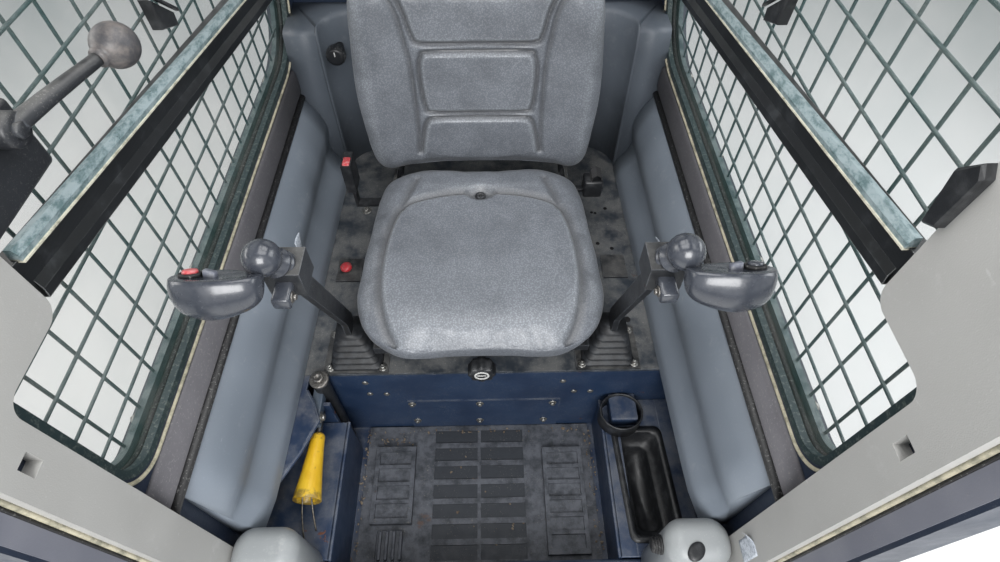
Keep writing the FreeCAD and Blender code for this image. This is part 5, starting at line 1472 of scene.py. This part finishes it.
def line_distance(spots, line):
    """Distance of flat spots from a line through points, all in metres."""
    best = np.full(len(spots), 9.0)
    line = eased([np.array(point, float) for point in line], 6)
    for start, end in zip(line, line[1:]):
        start, end = start / 1000, end / 1000
        run = end - start
        share = np.clip(((spots - start) @ run) / max(run @ run, 1e-12), 0, 1)
        best = np.minimum(best, np.linalg.norm(spots - start - share[:, None] * run, axis=1))
    return best


def inside(spots, outline):
    """1 for flat spots inside an outline given in millimetres."""
    corners = np.array(outline, float) / 1000
    hit = np.zeros(len(spots), bool)
    for start, end in zip(corners, np.roll(corners, -1, axis=0)):
        crosses = (start[1] > spots[:, 1]) != (end[1] > spots[:, 1])
        rise = end[1] - start[1]
        at = start[0] + (spots[:, 1] - start[1]) * (end[0] - start[0]) / (
            rise if abs(rise) > 1e-9 else 1e-9)
        hit ^= crosses & (spots[:, 0] < at)
    return hit


def smooth_step(value, low, high):
    """0 below one value, 1 above another and smooth between them."""
    share = np.clip((value - low) / (high - low), 0, 1)
    return share * share * (3 - 2 * share)


def faced(item, points):
    """How far each point faces up, and its flat place folded onto the right half."""
    spots = points[:, :2].copy()
    spots[:, 0] = np.abs(spots[:, 0])
    return smooth_step(points_of(item, "normal")[:, 2], 0.05, 0.75), spots


def store(item, name, values):
    """Keep a value from 0 to 1 on each point, for the finish to read."""
    layer = item.data.attributes.new(name, "FLOAT", "POINT")
    layer.data.foreach_set("value", np.clip(values, 0, 1).astype(np.float32))


cushion = foam_block("cushion_vinyl", CUSHION_HALF, 0.010, CUSHION_LOW + 0.004,
                     CUSHION_HIGH - 0.012, 0.016, 0.030)
blown_up(cushion, 0.0055, 4.0, 0.014)
points = fitted(cushion, (-CUSHION_SIDE, CUSHION_FRONT, CUSHION_LOW),
                (CUSHION_SIDE, CUSHION_REAR, CUSHION_HIGH))
facing, spots = faced(cushion, points)
within = inside(spots, CUSHION_PANEL)
near = line_distance(spots, CUSHION_GROOVES[0])
branch = line_distance(spots, CUSHION_GROOVES[1])
pressed = np.exp(-(near / np.where(within, GROOVE_INNER, GROOVE_OUTER)) ** 2)
pressed = np.maximum(pressed, 0.85 * np.exp(-(branch / 0.009) ** 2))
reach = np.hypot(spots[:, 0] / 0.20, (spots[:, 1] + 0.02) / 0.21)
sunk = 1 - smooth_step(reach, 0.35, 1.0)
dimple = 1 - smooth_step(np.hypot(spots[:, 0] / 0.037, (spots[:, 1] - 0.152) / 0.024), 0.45, 1.1)
front_roll = smooth_step(-spots[:, 1], 0.12, 0.235)
lift = (-0.010 * sunk - GROOVE_DEPTH * pressed - 0.014 * dimple - 0.014 * front_roll ** 2
        + 0.0035 * within * smooth_step(near, 0.004, 0.012)
        - 0.006 * smooth_step(spots[:, 1], 0.19, 0.25))
points[:, 2] += lift * facing
move_points(cushion, points)
store(cushion, "pressed", np.maximum(pressed * 0.8, dimple * 0.8) * facing)
# Painted highlight along the middle panel's rim, the front, the sides and the rear, with light
# wear on the crown.
highlight_and_wear = 0.9 * within * np.exp(-((near - 0.0085) / 0.0042) ** 2)
highlight_and_wear += 0.35 * np.exp(-((spots[:, 1] + 0.196) / 0.022) ** 2) * (spots[:, 0] < 0.17)
highlight_and_wear += 0.6 * np.exp(-((spots[:, 0] - 0.226) / 0.012) ** 2) * (spots[:, 1] < 0.08)
highlight_and_wear += 0.5 * np.exp(-((spots[:, 1] - 0.172) / 0.008) ** 2) * (spots[:, 0] < 0.13)
highlight_and_wear += 0.35 * within * smooth_step(-spots[:, 1], -0.02, 0.16)
store(cushion, "worn", highlight_and_wear * facing)
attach(cushion, "seat")
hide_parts("seat_cushion")


# Cushion vent. A black moulded ring and plug pressed into the dimple at the cushion's rear,
# for the air that leaves the foam.
VENT = (0.0, 0.150)
vent_top = points[np.argmin(np.hypot(points[:, 0] - VENT[0], points[:, 1] - VENT[1])
                            + (points[:, 2] < 0.52)), 2]
work = bmesh.new()
turned(work, [(0.0125, -0.002), (0.0125, 0.0008), (0.0110, 0.0018), (0.0082, 0.0014),
              (0.0074, -0.0010)], (*VENT, vent_top), (0, 0, 1), 28)
turned(work, [(0.0046, -0.001), (0.0046, 0.0016), (0.0036, 0.0022)], (*VENT, vent_top),
       (0, 0, 1), 6)
new_piece("cushion_vent", work, black_plastic, "seat")


# Backrest cushion. The same vinyl over foam, an upper panel, a middle panel and a lumbar roll
# pressed in between two side bolsters, each set off by a double groove. The upper panel
# stays bare.
BACK_HALF = ((0, 35), (100, 34), (190, 29), (230, 32), (252, 62), (264, 128), (271, 200),
             (270, 270), (263, 345), (254, 404), (244, 432), (220, 452), (170, 460), (80, 462),
             (0, 462))
BACK_BOLSTER = ((182, 452), (172, 432), (160, 400), (151, 350), (144, 300), (141, 240),
                (140, 150), (144, 84))
BACK_PANELS = (((0, 446), (104, 446), (146, 444), (160, 438), (154, 426), (145, 402), (135, 362),
                (122, 345), (64, 343), (0, 344)),
               ((0, 328), (104, 326), (120, 316), (126, 290), (124, 240), (118, 202), (104, 190),
                (0, 189)),
               ((139, 84), (130, 132), (120, 164), (98, 176), (0, 178)))
HINGE = Vector((0, 0.297, 0.4703))
LEAN = math.radians(6)
BACK_THICK, BACK_SIDE, BACK_LOW, BACK_HIGH, BACK_SET = 0.078, 0.271, 0.029, 0.462, 0.048

back = foam_block("backrest_vinyl", BACK_HALF, 0.010, 0.004, BACK_THICK - 0.012, 0.012, 0.024)
blown_up(back, 0.0055, 4.0, 0.012)
points = fitted(back, (-BACK_SIDE, BACK_LOW, 0.0), (BACK_SIDE, BACK_HIGH, BACK_THICK))
facing, spots = faced(back, points)
near = np.full(len(spots), 9.0)
for line in BACK_PANELS:
    near = np.minimum(near, line_distance(spots, line))
within = (inside(spots, BACK_PANELS[0]) | inside(spots, BACK_PANELS[1])
          | inside(spots, ((0, 60), *BACK_PANELS[2])))
outer = line_distance(spots, BACK_BOLSTER)
pressed = np.maximum(np.exp(-(near / 0.0048) ** 2), 0.8 * np.exp(-(outer / 0.0052) ** 2))
bolster = smooth_step(spots[:, 0], 0.145, 0.215)
hollow = 1 - bolster
lumbar = np.exp(-((spots[:, 1] - 0.17) / 0.09) ** 2)
points[:, 2] += (-0.0070 * pressed - 0.012 * hollow + 0.005 * lumbar * (1 - bolster)
                 + 0.0030 * within * smooth_step(near, 0.004, 0.010)) * facing
move_points(back, points)
store(back, "pressed", pressed * 0.8 * facing)
# Painted highlight along the panel rims and the bolsters' outer edges, with light wear.
highlight_and_wear = 0.85 * within * np.exp(-((near - 0.0080) / 0.0040) ** 2)
highlight_and_wear += 0.55 * np.exp(-((spots[:, 0] - 0.240) / 0.014) ** 2)
store(back, "worn", highlight_and_wear * facing)
upright = Matrix(((1, 0, 0, 0), (0, 0, -1, BACK_SET), (0, 1, 0, 0), (0, 0, 0, 1)))
back.data.transform(Matrix.Translation(HINGE) @ Matrix.Rotation(-LEAN, 4, "X") @ upright)
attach(back, "backrest")
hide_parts("backrest_cushion")
